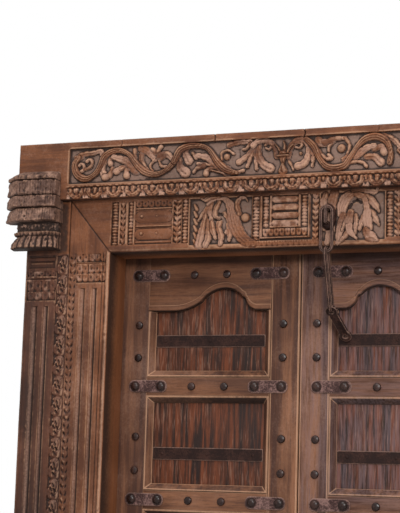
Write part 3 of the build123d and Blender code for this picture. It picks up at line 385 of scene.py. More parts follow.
def carved_block(name, relief, front, back, material, cuts=()):
    """Timber with a carved face; cuts are planes that trim it, as a point and an outward direction."""
    mesh, bm = grid_mesh(name, relief, lambda row, column: (
        relief.x[column], front - relief.height[row, column], relief.z[row]))
    for point, outward in cuts:
        bmesh.ops.bisect_plane(bm, geom=bm.verts[:] + bm.edges[:] + bm.faces[:], dist=1e-7,
                               plane_co=Vector(point) * MM, plane_no=outward, clear_outer=True)
    rim = [edge for edge in bm.edges if edge.is_boundary]
    walls = bmesh.ops.extrude_edge_only(bm, edges=rim)["geom"]
    for vert in (item for item in walls if isinstance(item, bmesh.types.BMVert)):
        vert.co.y = back * MM
        for label in MARKS:
            vert[bm.verts.layers.float[label]] = BACK_BARE if label == "bare" else 0.0
    finish_mesh(mesh, bm, material, SHARP_CARVING)
    return mesh


# ---------------------------------------------------------------- ornament

# Each form is a line through a few points, its half-widths from start to end, and its grooves.
# Frieze: millimetres from the middle of the carved field.
FRIEZE_OUTER = (
    (((-648, 31), (-665, 20), (-670, -1), (-660, -17), (-646, -12), (-643, 1), (-652, 9), (-659, 2)),
     (5, 3), 0),
    (((-638, -9), (-622, -3), (-616, 12), (-625, 21), (-634, 15)), (4.5, 4), 0),
    (((-670, 28), (-644, 39), (-612, 41), (-586, 46), (-584, 34)), (7, 5), 1),
    (((-559, 36), (-574, 12), (-582, -12), (-576, -28)), (6, 8), 1),
    (((-548, -10), (-556, -32), (-572, -38)), (5, 8), 0),
    (((-546, 27), (-558, 14), (-555, 4)), (4, 6.5), 0),
    (((-497, -6), (-519, -12), (-534, -21)), (4.5, 8), 1),
    (((-486, -15), (-500, -19), (-500, -36)), (4, 8), 0),
    (((-468, -19), (-498, 8), (-531, 20), (-545, 25)), (13, 6), 2),
    (((-476, 44), (-473, 20), (-458, -8), (-432, -28)), (5, 3), 0),
    (((-452, 29), (-452, 9), (-436, -16), (-415, -32)), (7.5, 3), 1),
    (((-453, 48), (-431, 35), (-409, 13)), (10, 7), 2),
    (((-406, 27), (-410, 37), (-417, 42)), (5, 5), 0),
    (((-399, 23), (-396, 40), (-389, 49)), (6, 5), 0),
    (((-395, 16), (-371, 25), (-351, 9)), (10, 6), 1),
    (((-395, 6), (-387, -11), (-369, -16)), (3, 4.5), 0),
    (((-411, -30), (-423, -10), (-409, 10)), (3, 3), 0),
)
FRIEZE_LEFT = (
    (((-302, 45), (-310, 25), (-298, 1)), (5, 10), 1),
    (((-287, 24), (-276, 10)), (4, 5.5), 0),
    (((-328, 6), (-326, -18), (-309, -35)), (6, 12), 1),
    (((-196, -31), (-231, -16), (-269, -10)), (5, 4), 0),
    (((-251, -18), (-272, -24), (-282, -36)), (6.5, 3), 0),
    (((-223, -26), (-240, -32), (-242, -42)), (4.5, 7), 0),
    (((-172, -40), (-210, -13), (-242, 8), (-269, 15)), (13, 6), 2),
    (((-227, -32), (-185, -44)), (2, 2), 0),
    (((-193, -1), (-194, 19), (-174, 26), (-156, 14)), (3, 3), 0),
    (((-172, 42), (-141, 49), (-105, 49)), (6.5, 5.5), 1),
    (((-104, 45), (-116, 29), (-126, 26)), (4.5, 3), 0),
    (((-177, -40), (-152, -44), (-125, -38)), (7, 4), 0),
    (((-89, 40), (-109, 10), (-139, -12)), (6, 7), 1),
    (((-85, 39), (-102, 3), (-113, -27)), (6, 4), 1),
    (((-82, 39), (-86, 2), (-84, -35)), (7, 4), 1),
    (((-78, 39), (-78, 5), (-63, -22), (-42, -35)), (6, 10), 1),
    (((-59, 35), (-53, 41), (-41, 34), (-45, 22), (-56, 26)), (3, 2.5), 0),
    (((-23, -1), (-30, 30), (-51, 48), (-79, 49), (-96, 37)), (6, 7), 1),
)
FRIEZE_VASE = (
    (((-9, 2), (-16, 22), (-27, 36)), (4, 2.5), 0),
    (((8, 4), (16, 20), (27, 33)), (4, 2.5), 0),
    (((1, 15), (2, 31), (-2, 45)), (5.5, 2), 0),
    (((-4, 3), (-4, -20)), (14, 5), 2),
    (((-4, -24), (-3, -44)), (4, 15), 1),
    (((-21, 1), (13, 1)), (3.5, 3.5), 0),
)
FRIEZE_RIGHT = (
    (((27, 30), (41, 37), (54, 32), (48, 22), (36, 24)), (3.5, 2.5), 0),
    (((15, -16), (25, -33), (29, -43)), (4, 2.5), 0),
    (((13, -3), (17, 20), (34, 43), (57, 47), (75, 27), (73, -6), (59, -27), (42, -32)), (7, 8.5), 1),
    (((85, 30), (88, -3), (86, -35)), (8, 3), 1),
    (((95, 26), (112, -1), (129, -15), (144, -13), (135, -4)), (5.5, 4), 0),
    (((101, 46), (111, 32), (125, 33)), (9, 9), 1),
    (((148, 37), (136, 24), (135, 7)), (7, 2.5), 0),
    (((125, 33), (154, 44), (184, 44)), (8, 4), 0),
    (((184, 44), (197, 21), (188, -9), (175, -18)), (4.5, 2.5), 0),
    (((244, -15), (270, -16), (289, -33)), (6.5, 9), 1),
    (((269, 7), (292, 12), (299, -3)), (6, 8.5), 0),
    (((188, -22), (221, -7), (247, 11), (269, 17)), (11.5, 6), 2),
    (((182, -38), (211, -28), (237, -32), (247, -43)), (3.5, 4), 0),
    (((292, 47), (324, 33), (346, 9)), (7, 5.5), 1),
)
VINE_OUTER = (
    (((-662, 28), (-675, 6), (-665, -25), (-635, -40), (-605, -26), (-588, -1), (-578, 24), (-557, 40),
      (-525, 45), (-492, 29), (-469, 0), (-440, -26), (-404, -36), (-369, -24), (-345, 0)),
     (8, 11, 12, 8, 10, 11, 9, 7, 10, 12, 9, 7, 10), 2),
)
VINE_MIDDLE = (
    (((-345, 0), (-329, 33), (-302, 45), (-271, 46), (-236, 33), (-207, -7), (-179, -33), (-145, -44)),
     (10, 12, 9, 7, 10, 12, 6), 2),
    (((67, 48), (91, 23), (105, -8), (126, -35), (152, -44), (182, -38), (198, -16), (220, 16), (243, 38),
      (276, 44), (305, 28), (318, -6), (315, -35)), (8, 11, 8, 10, 12, 9, 7, 10, 12, 11, 7, 9), 2),
)
FRIEZE_KNOBS = ((-177, 6, 10), (51, 5, 5), (173, 14, 13))       # place and radius of each knob
FRIEZE_SPLITS = ((-520, 3), (-217, 5), (61, 5), (280, 3))       # place and depth of the border's splits
FRIEZE_UNDER, FRIEZE_OVER = 9.0, 23.0   # plain border under and over the carved field
CROWN = 1.2             # how far the vine stands above the border
LEAF_DROP = 0.8         # how much lower than the vine its leaves lie
LEAF_RISE = 4.0         # how far a leaf of the frieze climbs to its tip

# Head: millimetres from the middle of its carved length and from its middle height.
HEAD_LEFT = (
    (((-240, 51), (-255, 30), (-271, 7)), (5.5, 7, 3), 1),
    (((-246, 36), (-252, 2), (-260, -35), (-266, -66)), (4.5, 10, 13.5, 14), 1),
    (((-240, 8), (-239, -23), (-239, -50), (-246, -67)), (5.5, 8, 11, 11), 1),
    (((-229, 62), (-235, 38), (-229, 8)), (7, 9, 6.5), 2),
    (((-229, 3), (-224, -23), (-215, -48)), (7.5, 10, 5.5), 1),
    (((-204, 2), (-206, -17), (-198, -41), (-199, -66)), (10, 9, 10.5, 8), 1),
    (((-206, 61), (-217, 39), (-218, 20), (-206, 11)), (6.5, 8, 8, 5.5), 1),
    (((-189, 25), (-175, 12), (-172, -8), (-182, -33)), (8, 10, 9, 5), 1),
    (((-174, -8), (-170, -28), (-172, -56)), (10, 11, 5), 1),
    (((-95, -68), (-120, -58), (-142, -35), (-157, -2), (-164, 31), (-179, 62), (-202, 74), (-227, 68),
      (-242, 56)), (12, 17, 20, 21, 19, 15, 8, 6, 5), 3),
    (((-142, 24), (-150, 52), (-141, 70), (-126, 72), (-117, 61)), (8, 9, 8, 5.5, 2), 1),
    (((-202, 77), (-229, 77), (-249, 69), (-263, 73)), (4, 8, 9, 2), 1),
)
HEAD_RIGHT = (
    (((150, 78), (138, 40), (132, 0), (136, -40), (128, -72)), (12, 18, 19, 15, 9), 2),
    (((122, 70), (116, 48), (121, 26)), (9, 12, 8), 1),
    (((121, 14), (115, -8), (120, -30)), (9, 12, 8), 1),
    (((206, 74), (183, 59), (172, 36), (169, 11)), (9, 16.5, 17, 12), 3),
    (((175, 4), (169, -19), (163, -48), (159, -75)), (13, 13.5, 11.5, 6), 2),
    (((184, 0), (179, -19), (171, -38)), (5, 5.5, 3), 0),
    (((190, -36), (182, -53), (167, -71), (159, -79)), (6.5, 9, 6.5, 2.5), 1),
    (((212, 7), (214, -16), (209, -47)), (6.5, 8.5, 5.5), 1),
    (((197, 16), (193, -11), (195, -39), (215, -63)), (10, 12.5, 10.5, 3.5), 2),
    (((234, 4), (229, -17), (223, -36)), (6.5, 9, 5), 1),
    (((235, 65), (256, 49), (273, 28), (281, 12)), (7.5, 12.5, 10.5, 2), 1),
    (((248, 24), (261, 5), (274, -14), (281, -27)), (6, 12.5, 9, 2), 1),
    (((212, 68), (235, 58), (244, 27), (246, -3), (249, -32)), (9, 8.5, 10, 15.5, 13.5), 2),
    (((242, -38), (251, -54), (276, -70)), (10.5, 17, 4.5), 1),
    (((203, 81), (227, 81), (248, 78), (269, 75), (279, 86)), (7.5, 6.5, 9, 10, 3.5), 1),
)
HEAD_KNOB = (-123, 11, 13.5)
HEAD_PITS = (((-207, 26), (-194, 23)), ((-216, 9), (-202, 8)), ((204, 47), (214, 52)),
             ((214, 52), (226, 44)), ((191, 29), (199, 40)))     # start and end of each pit
HEAD_LEAVES = (49, 27, 5, -16, -38, -59)        # heights of the small leaves beside the left scroll
HEAD_DEPTH = 8.0
HEAD_RISE = 2.5         # how far a leaf of the head climbs to its tip
HEAD_UNDER, HEAD_OVER = 22.0, 10.0      # plain border under and over the carving of the head
HEAD_ROUND = 9.0        # rounding of its lower edge
LEAF_FIELDS = ((-297, -102), (108, 297))        # start and end of the two fields of scrolled leaves
# Strings of beads and sprigs of leaves: place, width and count; both ends of the head are alike.
HEAD_BEADS = ((-540, 22, 14), (-488, 18, 13), (-312, 20, 13), (-89, 22, 13))
HEAD_SPRIGS = ((-514, 18, 7), (-337, 27, 8))
HEAD_INNER = 100        # strings nearer the middle than this are on the left only
BARRED = (-474, -353)   # start and end of the barred field
BAR_FILLETS = (50, -4, -53)
BAR_CUSHIONS = (24, -29)
BAR_DEPTH = -4.0        # ground round the bars
SQUARE = (-76, 104)     # start and end of the framed square
SQUARE_FRAMES = ((73, -52, 3), (44, -20, 4))    # half-width, lower edge and half-thickness
SQUARE_BARS = (62, 38, 14, -8)
DUSTY_RUN = (-100, 330)         # part of the head that the dust lies on
MITRE_HALF, MITRE_DEPTH = 2.4, 3.0      # groove that shows the mitre
STRIP_PETAL = 64.0
STRIP_DEPTH = 7.5
STRIP_FINE = 0.85       # how much finer the strip is cut than the head
STRIP_LIP = 7.0         # plain lip over the petals

# Curled leaf of the upright vine on a post, one repeat: millimetres across and up.
POST_LEAF = (
    (((-9, -40), (2, -33), (13, -24), (13, -10)), (5.5, 6.5), 0),
    (((-5, -17), (0, 0), (5, 19)), (12, 13), 0),
    (((-13, -22), (-15, -4), (-8, 12)), (3.5, 3.5), 0),
    (((14, 22), (16, 6), (9, -10)), (3.5, 3.5), 0),
)
POST_PITS = (((-9, 5), (-4, -3)), ((2, 2), (8, -6)), ((-1, 17), (2, 9)), ((-3, -12), (1, -18)))
POST_LEAF_PITCH = 62.0
UPRIGHT_PITCH = 1.2     # how much coarser the long uprights are cut than the head
# Jambs and posts: heights of the carving under the head, and places across from the left edge.
PLAIN_FOOT = 120.0      # height of the plain foot
FLUTE_HALF = 8.0
PETAL_DEPTH = -7.0      # ground round the petals
JAMB_PETALS = ((1838, 1862), (1801, 1829), (1776, 1801))
JAMB_LINE = 1833
JAMB_FIELD = (27, 13)   # carved field, in from the left and the right edge
JAMB_FLUTES, JAMB_FLUTE_TOP = (50, 89), 1757
JAMB_SPRIG = (3, 25)    # band of leaves along the outer edge
JAMB_SPRIG_DEPTH = -6.0
JAMB_LINES = (23, 13)   # two fine lines, from the right edge
JAMB_ROUND = 8.0        # rounding of the edge at the opening
POST_MARGIN, POST_VINE = 7.0, 42.0      # plain left edge and breadth of the vine
POST_TABLET = (1823, 1862)
POST_TABLET_DEPTH = -3.5
POST_TABLET_LINES = ((14, 1836, 3, 0), (10, 1850, 6, -1.5))     # set-in, height, half-width and top
POST_PETALS = ((1796, 1812, 5, 0), (1748, 1782, 4, 0), (1722, 1748, 4, -1))     # ends, count and crest
POST_GROUNDS = ((1722, 1782), (1796, 1813))     # sunk ground round those petals
POST_LINE = 1788
POST_FLUTES, POST_FLUTE_TOP = (38, 75), 1704
VINE_TOP, VINE_DEPTH = 1860, -4.5
BARE_FROM = 1866        # above this the vine's ground is plain bare timber, darkened with painted shade under the capital


def strokes(relief, forms, u, v, floor, top, hand=1, full=1.0, rise=0.0, pale=0.0):
    """Carve a set of forms round a middle point; hand -1 turns them over, full makes them stouter."""
    for points, widths, ribs in forms:
        line = [(u + hand * x, v + z) for x, z in points]
        relief.stroke(line, [full * width for width in widths], floor, top, ribs, rise, pale)


def carve_frieze(settings):
    """Beam with its vine, vase and leaves."""
    left, right, front, back, bottom, top = span("frieze_beam")
    field_left, field_right, _, _, _, strip_top = span("bead_strip")
    relief = Relief(left, right, bottom, top, settings.pitch)
    low, high = strip_top + FRIEZE_UNDER, top - FRIEZE_OVER
    u, v, floor = (field_left + field_right) / 2, (low + high) / 2, -settings.ground
    relief.flat(field_left, field_right, low, high, floor)
    for hand in (1, -1):
        strokes(relief, FRIEZE_OUTER, u, v, floor, CROWN - LEAF_DROP, hand, FULL, LEAF_RISE, 1.0)
        strokes(relief, VINE_OUTER, u, v, floor, CROWN, hand)
    for forms in (FRIEZE_LEFT, FRIEZE_RIGHT):
        strokes(relief, forms, u, v, floor, CROWN - LEAF_DROP, 1, FULL, LEAF_RISE, 1.0)
    for forms in (VINE_MIDDLE, FRIEZE_VASE):
        strokes(relief, forms, u, v, floor, CROWN)
    for x, z, radius in FRIEZE_KNOBS:
        relief.ball(u + x, v + z, radius, floor, CROWN)
    field, _, _ = relief.patch(field_left, field_right, low, high)
    border = np.ones(relief.height.shape, bool)
    border[field] = False
    relief.height[border] = relief.pale[border] = 0
    for x, deep in FRIEZE_SPLITS:
        relief.groove(((u + x, top), (u + x + 4, top - 12), (u + x + 1, high)), 2.2, deep)
    relief.round_edges()
    relief.weather(settings.weather, 11)
    return relief, front, back


def carve_strip(settings):
    """Strip of hanging petals under the frieze."""
    left, right, front, back, bottom, top = span("bead_strip")
    relief = Relief(left, right, bottom, top, settings.pitch * STRIP_FINE)
    count = round((right - left) / STRIP_PETAL)
    floor, hang, belly = -STRIP_DEPTH, top - 11, bottom + 14
    relief.flat(left, right + 1, bottom, top - STRIP_LIP, floor)
    for index in range(count + 1):
        between = left + index * (right - left) / count
        relief.stroke(((between, belly), (between, bottom + 1)), (13, 9), floor, -3, 1, 1.0, 1.0)
    for index in range(count):
        x = left + (index + 0.5) * (right - left) / count
        relief.stroke(((x - 20, hang), (x - 17, belly), (x, bottom + 5), (x + 17, belly), (x + 20, hang)),
                      (6, 8, 6), floor, 0, 1)
        relief.stroke(((x, hang), (x, bottom + 15)), (8, 5), floor, -1, 1)
        relief.stroke(((x + 31, hang), (x + 31, top - 18)), (7, 4), floor, -1)
    relief.groove(((left, top - 6), (right, top - 6)), 2, 3)
    relief.roughen(left, right, bottom, top - 8, 3.2, 32)
    relief.weather(settings.weather * 1.6, 12)
    relief.height = np.clip(relief.height, -13, 1.5)
    return relief, front, back


def carve_head_end(relief, hand, u, v, low, high):
    """Beads, sprigs and barred field at one end of the head; hand -1 is the right end."""
    floor = -HEAD_DEPTH
    for x, width, count in HEAD_BEADS:
        if hand > 0 or abs(x) > HEAD_INNER:
            relief.band(relief.beads, u + hand * x, low, high, width, count, floor, 2.2, 41 + count)
    for x, width, count in HEAD_SPRIGS:
        relief.band(relief.sprig, u + hand * x, low, high, width, count, floor, 2.4, 51 + count)
    near, far = sorted(u + hand * x for x in BARRED)
    relief.flat(near, far, low, high, BAR_DEPTH)
    for level in BAR_FILLETS:
        relief.stroke(((near + 4, v + level), (far - 4, v + level)), (3, 3), BAR_DEPTH, -1)
    for level in BAR_CUSHIONS:
        relief.stroke(((near + 16, v + level), (far - 16, v + level)), (17, 17), BAR_DEPTH, 0)
        relief.ball(near + 22, v + level + 2, 6, BAR_DEPTH, 4)
        relief.ball(far - 50, v + level + 2, 5, BAR_DEPTH, 2)
    relief.petals(near, far, v + 55, high, 6, floor, -1)


def carve_scrolls(relief, u, v, low, high):
    """Two fields of scrolled leaves, with the knob and the pits between the leaves."""
    floor = -HEAD_DEPTH
    for (start, end), forms in zip(LEAF_FIELDS, (HEAD_LEFT, HEAD_RIGHT)):
        relief.flat(u + start, u + end, low - 6, high, floor)
        for level in HEAD_LEAVES if forms is HEAD_LEFT else ():
            relief.stroke(((u - 284, v + level + 7), (u - 277, v + level - 7)), (4, 6), floor, -1)
        strokes(relief, forms, u, v, floor, 2, 1, 1.0, HEAD_RISE, 1.0)
    x, z, radius = HEAD_KNOB
    relief.ball(u + x, v + z, radius, floor, 4)
    for points in HEAD_PITS:
        relief.groove([(u + x, v + z) for x, z in points], 5, 6)


def carve_square(relief, u, v, low, high):
    """Framed square with beads, bars and petals, and the sprig on its right."""
    floor = -HEAD_DEPTH
    relief.flat(u + SQUARE[0], u + SQUARE[1], low, high, floor)
    relief.sprig(u + 93, low, high, 20, 8, floor, 0)
    relief.roughen(u + 83, u + 103, low, high, 1.8, 61)
    for half, foot, thick in SQUARE_FRAMES:
        corners = ((u - half, high), (u - half, v + foot), (u + half, v + foot), (u + half, high))
        for side in zip(corners, corners[1:]):
            relief.stroke(side, (thick, thick), floor, 0)
    for hand in (-1, 1):
        relief.beads(u + hand * 59, v - 20, high, 18, 9, floor, -1)
    relief.petals(u - 68, u + 68, v - 48, v - 25, 8, floor, 0)
    for level in SQUARE_BARS:
        relief.stroke(((u - 32, v + level), (u + 32, v + level)), (9, 9), BAR_DEPTH, 0)
    relief.roughen(u - 76, u + 80, v - 55, high, 1.2, 62)
    relief.petals(u - 120, u + 110, v - 78, v - 60, 14, -4, 0)


def carve_head(settings):
    """Inner head: bars, scrolled leaves and a framed square."""
    left, right, front, back, bottom, top = span("inner_head")
    opening = span("left_inner_jamb")[1]
    field_left, field_right = span("bead_strip")[:2]
    relief = Relief(left, right, bottom, top, settings.pitch)
    u, v = (field_left + field_right) / 2, (bottom + top) / 2
    low, high = bottom + HEAD_UNDER, top - HEAD_OVER
    for hand in (1, -1):
        carve_head_end(relief, hand, u, v, low, high)
    carve_scrolls(relief, u, v, low, high)
    carve_square(relief, u, v, low, high)
    window, _, _ = relief.patch(u + DUSTY_RUN[0], u + DUSTY_RUN[1], low, high)
    relief.pale[window] += 0.3
    for hand in (1, -1):
        relief.groove(((hand * left, top), (hand * opening, bottom)), MITRE_HALF, MITRE_DEPTH)
    relief.height -= rounding(relief.z - bottom, HEAD_ROUND)[:, None]
    relief.weather(settings.weather, 13)
    depth, width = top - bottom, abs(left) - abs(opening)
    mitre = [((hand * abs(opening), 0, bottom), (hand * depth, 0, -width)) for hand in (1, -1)]
    return relief, front, back, mitre


def carve_jamb(settings, side):
    """Jamb of the inner frame; built for the left and turned over for the right."""
    left, right, front, back, bottom, top = span("left_inner_jamb")
    opening_top = span("inner_head")[4]
    relief = Relief(left, right, bottom, top, settings.pitch * UPRIGHT_PITCH)
    inner, outer = left + JAMB_FIELD[0], right - JAMB_FIELD[1]
    for low, high in JAMB_PETALS:
        relief.flat(inner, outer, low - 1, high + 1, PETAL_DEPTH)
        relief.petals(inner, outer, low, high, 5, PETAL_DEPTH, 0)
        relief.roughen(inner, outer, low, high, 1.4, low + side)
    relief.groove(((inner, JAMB_LINE), (outer, JAMB_LINE)), 1.8, 3)
    for x in JAMB_FLUTES:
        relief.channel(left + x, bottom + PLAIN_FOOT, JAMB_FLUTE_TOP, FLUTE_HALF, settings.flute)
    for x in JAMB_LINES:
        relief.groove(((right - x, bottom), (right - x, opening_top)), 1.8, 3)
    start, end = left + JAMB_SPRIG[0], left + JAMB_SPRIG[1]
    relief.flat(start, end, bottom, opening_top, JAMB_SPRIG_DEPTH)
    relief.sprig((start + end) / 2, bottom, opening_top, 21, 80, JAMB_SPRIG_DEPTH, -0.5)
    relief.roughen(start, end, bottom, opening_top, 1.6, 71 + side)
    window, _, _ = relief.patch(left, end + 1, bottom, opening_top)
    relief.pale[window] *= 0.4
    relief.dirt[window] += 0.12
    # the reveal is marked bare: clean timber, whose lighter colour also stands in as painted light on that
    # side
    relief.bare[:, relief.x > right - 3] = 0.9
    relief.groove(((left, top), (right, opening_top)), MITRE_HALF, MITRE_DEPTH)
    x = np.meshgrid(relief.x, relief.z)[0]
    relief.height -= rounding(right - x, JAMB_ROUND) + 3 * np.clip(1 - (x - left) / 3, 0, 1)
    relief.pale = np.maximum(relief.pale, np.clip(1.1 - np.abs(right - 4 - x) / 4, 0, 0.65))
    relief.weather(settings.weather, 14 + side)
    depth, width = top - opening_top, right - left
    return relief, front, back, [((right, 0, opening_top), (depth, 0, width))]


def carve_post(settings, side):
    """Pilaster post with its upright vine; built for the left."""
    left, right, front, back, bottom, top = span("left_outer_post")
    relief = Relief(left, right, bottom, top, settings.pitch * UPRIGHT_PITCH)
    start, end, foot = left + POST_MARGIN, right - POST_VINE, bottom + PLAIN_FOOT
    relief.flat(start + 4, end - 4, *POST_TABLET, POST_TABLET_DEPTH)
    for inset, level, half, crest in POST_TABLET_LINES:
        relief.stroke(((start + inset, level), (end - inset, level)), (half, half), POST_TABLET_DEPTH, crest)
    for low, high in POST_GROUNDS:
        relief.flat(start, end, low, high, PETAL_DEPTH)
    relief.groove(((start, POST_LINE), (end, POST_LINE)), 2.6, 4)
    for low, high, count, crest in POST_PETALS:
        relief.petals(start, end, low, high, count, PETAL_DEPTH, crest)
    relief.roughen(start, end, POST_GROUNDS[0][0], POST_GROUNDS[1][1], 1.4, 81 + side)
    for x in POST_FLUTES:
        relief.channel(left + x, foot, POST_FLUTE_TOP, FLUTE_HALF, settings.flute)
    relief.groove(((start + 1, bottom), (start + 1, top)), 1.5, 2)
    relief.flat(end + 3, right - 3, foot, VINE_TOP, VINE_DEPTH)
    window, _, _ = relief.patch(end + 1, right - 1, foot, VINE_TOP)
    relief.dirt[window] -= 0.08
    middle = (end + right) / 2
    for index in range(int((VINE_TOP - foot) / POST_LEAF_PITCH)):
        level = VINE_TOP - (index + 0.5) * POST_LEAF_PITCH
        strokes(relief, POST_LEAF, middle, level, VINE_DEPTH, 0, 1, 1.0, 0.0, 0.5)
        for points in POST_PITS:
            relief.groove([(middle + x, level + z) for x, z in points], 3.3, 6)
    # above the vine the strip is bare timber, darkened with painted shade under the capital
    window, _, _ = relief.patch(end, right + 1, BARE_FROM, top + 1)
    relief.bare[window], relief.dirt[window] = 0.7, 0.85
    relief.round_edges()
    relief.weather(settings.weather, 16 + side)
    return relief, front, back


def turned_over(mesh):
    """Turn a left-hand mesh into the right-hand one."""
    bm = bmesh.new()
    bm.from_mesh(mesh)
    bmesh.ops.scale(bm, vec=(-1, 1, 1), verts=bm.verts)
    bmesh.ops.reverse_faces(bm, faces=bm.faces)
    bm.to_mesh(mesh)
    bm.free()
    mesh.set_sharp_from_angle(angle=SHARP_CARVING)


# Courses of a capital from the bottom: height, how far foot and top are set in, and ribs round it.
CAPITAL_COURSES = ((40, 25, 38, 13), (14, 31, 31, 17), (30, 29, 27, 0), (43, 0, 12, 34), (39, 0, 6, 34),
                   (48, 1, 4, 34), (30, 3, 40, 12))
CUSHION, BEAD_ROW, NECK, ROOF = 0, 1, 2, 6      # courses that are not ribbed tiers
CAPITAL_WIDTH = 216.0
CAPITAL_CANT = 46.0
CAPITAL_SIDE = 0.12     # share of the relief that is kept on the sawn inner side


def capital_shape(index, share, turn):
    """Carving of one course; share runs up it, turn across each rib from -1 to 1."""
    if index == CUSHION:
        petal = np.clip(1 - np.abs(turn) ** 2.5, 0, 1) ** 0.5
        return 10 * petal * np.clip(1.1 - share ** 3, 0, 1) - 7 * np.clip(1 - share / 0.14, 0, 1) ** 2
    if index == BEAD_ROW:
        return 9 * np.clip(1.3 * share + 0.2 - np.abs(turn), 0, 1) ** 0.7 - 4
    if index == NECK:
        return np.full(share.shape, -7.0)
    if index == ROOF:
        block = np.clip((0.8 - np.abs(turn)) / 0.2, 0, 1) * np.clip((0.6 - share) / 0.2, 0, 1)
        return 3 * block - 2
    rib = np.clip((np.abs(turn) - 0.5) / 0.5, 0, 1) ** 2
    under = np.clip((share - 0.86) / 0.14, 0, 1) ** 2
    return -2.2 * rib - 12 * under - 2 * np.clip(1 - share / 0.12, 0, 1) ** 2


def capital_mesh(name, settings, seed, material):
    """Left capital: lotus cushion, bead row, set-in neck, three ribbed tiers and a roof."""
    left, right, front, _, bottom, top = span("left_capital")
    wall = span("left_outer_post")[2]
    beam_left, _, beam_front, _, beam_bottom, _ = span("frieze_beam")
    width, cant, reach = CAPITAL_WIDTH, CAPITAL_CANT, wall - front
    middle, slant = left + width / 2, CAPITAL_CANT * math.sqrt(2)
    run = np.array((reach - cant, slant, width - 2 * cant, slant, reach - cant))
    corners = np.concatenate(([0.0], np.cumsum(run)))
    relief = Relief(0, corners[-1], bottom, top, settings.pitch)
    inset = np.zeros(len(relief.z))
    level = bottom
    for index, (tall, foot, head, ribs) in enumerate(CAPITAL_COURSES):
        rows = (relief.z >= level - 0.01) & ((index == ROOF) | (relief.z < level + tall - 0.01))
        share = (relief.z[rows] - level) / tall
        inset[rows] = foot + (head - foot) * (share ** 2.4 if index == ROOF else share)
        x, up = np.meshgrid(relief.x, share)
        turn = x / corners[-1] * ribs % 1 * 2 - 1
        relief.height[rows] = capital_shape(index, up, turn)
        if index == CUSHION:
            # the cushion is marked darker between its petals and towards its foot
            between = np.clip((np.abs(turn) - 0.45) / 0.3, 0, 0.8)
            relief.dirt[rows] = 0.4 + between + np.clip(1 - up / 0.25, 0, 1)
        elif index == NECK:
            # painted shade: the set-in neck is marked dark as it lies in shade under the tiers
            relief.dirt[rows] = 0.75
        level += tall
    relief.roughen(0, corners[-1] + 1, bottom, top + 1, 1.9, seed + 2)
    relief.dirt += 0.55 * relief.drift(7, np.random.default_rng(seed + 4))
    relief.weather(settings.weather * 2.4, seed)
    relief.height = np.minimum(relief.height, inset[:, None] - 0.3)

    def place(row, column):
        along = np.clip(relief.x[column], 0, corners[-1])
        edge = np.clip(np.searchsorted(corners, along, side="right") - 1, 0, 4)
        share = (along - corners[edge]) / run[edge]
        inside = inset[row] - relief.height[row, column]
        half, lip = width / 2 - inside, front + inside
        slope = cant - inside * (2 - math.sqrt(2))
        zero = np.zeros_like(half)
        plan_x = np.stack((zero - half, zero - half, slope - half, half - slope, half, half))
        plan_y = np.stack((zero + wall, lip + slope, lip, lip, lip + slope, zero + wall))
        pick = np.arange(len(edge))
        px = middle + plan_x[edge, pick] + (plan_x[edge + 1, pick] - plan_x[edge, pick]) * share
        py = plan_y[edge, pick] + (plan_y[edge + 1, pick] - plan_y[edge, pick]) * share
        pz = relief.z[row]
        px = np.minimum(px, right - CAPITAL_SIDE * inside)
        over_beam = (pz > beam_bottom) & (px > beam_left)
        return px, np.where(over_beam, np.minimum(py, beam_front), py), pz

    mesh, bm = grid_mesh(name, relief, place)
    rim = [edge for edge in bm.edges if edge.is_boundary]
    for level in (bottom, top):
        ring = [edge for edge in rim if all(abs(vert.co.z - level * MM) < CLOSE for vert in edge.verts)]
        bmesh.ops.contextual_create(bm, geom=ring)
    bmesh.ops.holes_fill(bm, edges=[edge for edge in bm.edges if edge.is_boundary], sides=0)
    bmesh.ops.remove_doubles(bm, verts=bm.verts, dist=CLOSE)
    bmesh.ops.dissolve_degenerate(bm, edges=bm.edges, dist=CLOSE)
    finish_mesh(mesh, bm, material, SHARP_CAPITAL)
    return mesh


# ---------------------------------------------------------------- joinery and iron

UNDERSIDE_SHADE = 1.0     # how dark the faces that look down are painted, as painted shade under things
WORN_ANGLE = 0.4    # edges with a sharper turn than this are worn round
WASHER_RISE = 1.6   # thickness of the washer under a nail head
DOME_STEPS = ((1.0, 0.3), (0.84, 0.36), (0.5, 0.24))    # shrink and share of the height of each step


def clean_copy(node):
    """Merged copy of a CAD node with its flat faces whole."""
    bm = bmesh.new()
    bm.from_mesh(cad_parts[node].data)
    bmesh.ops.remove_doubles(bm, verts=bm.verts, dist=CLOSE)
    bmesh.ops.dissolve_limit(bm, angle_limit=0.01, verts=bm.verts, edges=bm.edges)
    return bm


def round_lip(bm, radius):
    """Round the lower front edge of what stands out over a panel."""
    front = min(vert.co.y for vert in bm.verts) + 0.1 * MM
    under = [edge for edge in bm.edges if all(vert.co.y < front for vert in edge.verts)
             and any(face.normal.z < -0.05 and abs(face.normal.y) < 0.3 for face in edge.link_faces)]
    bmesh.ops.bevel(bm, geom=under, offset=radius * MM, offset_type="OFFSET", affect="EDGES", segments=5,
                    profile=0.5, material=-1, clamp_overlap=False)
    bm.normal_update()


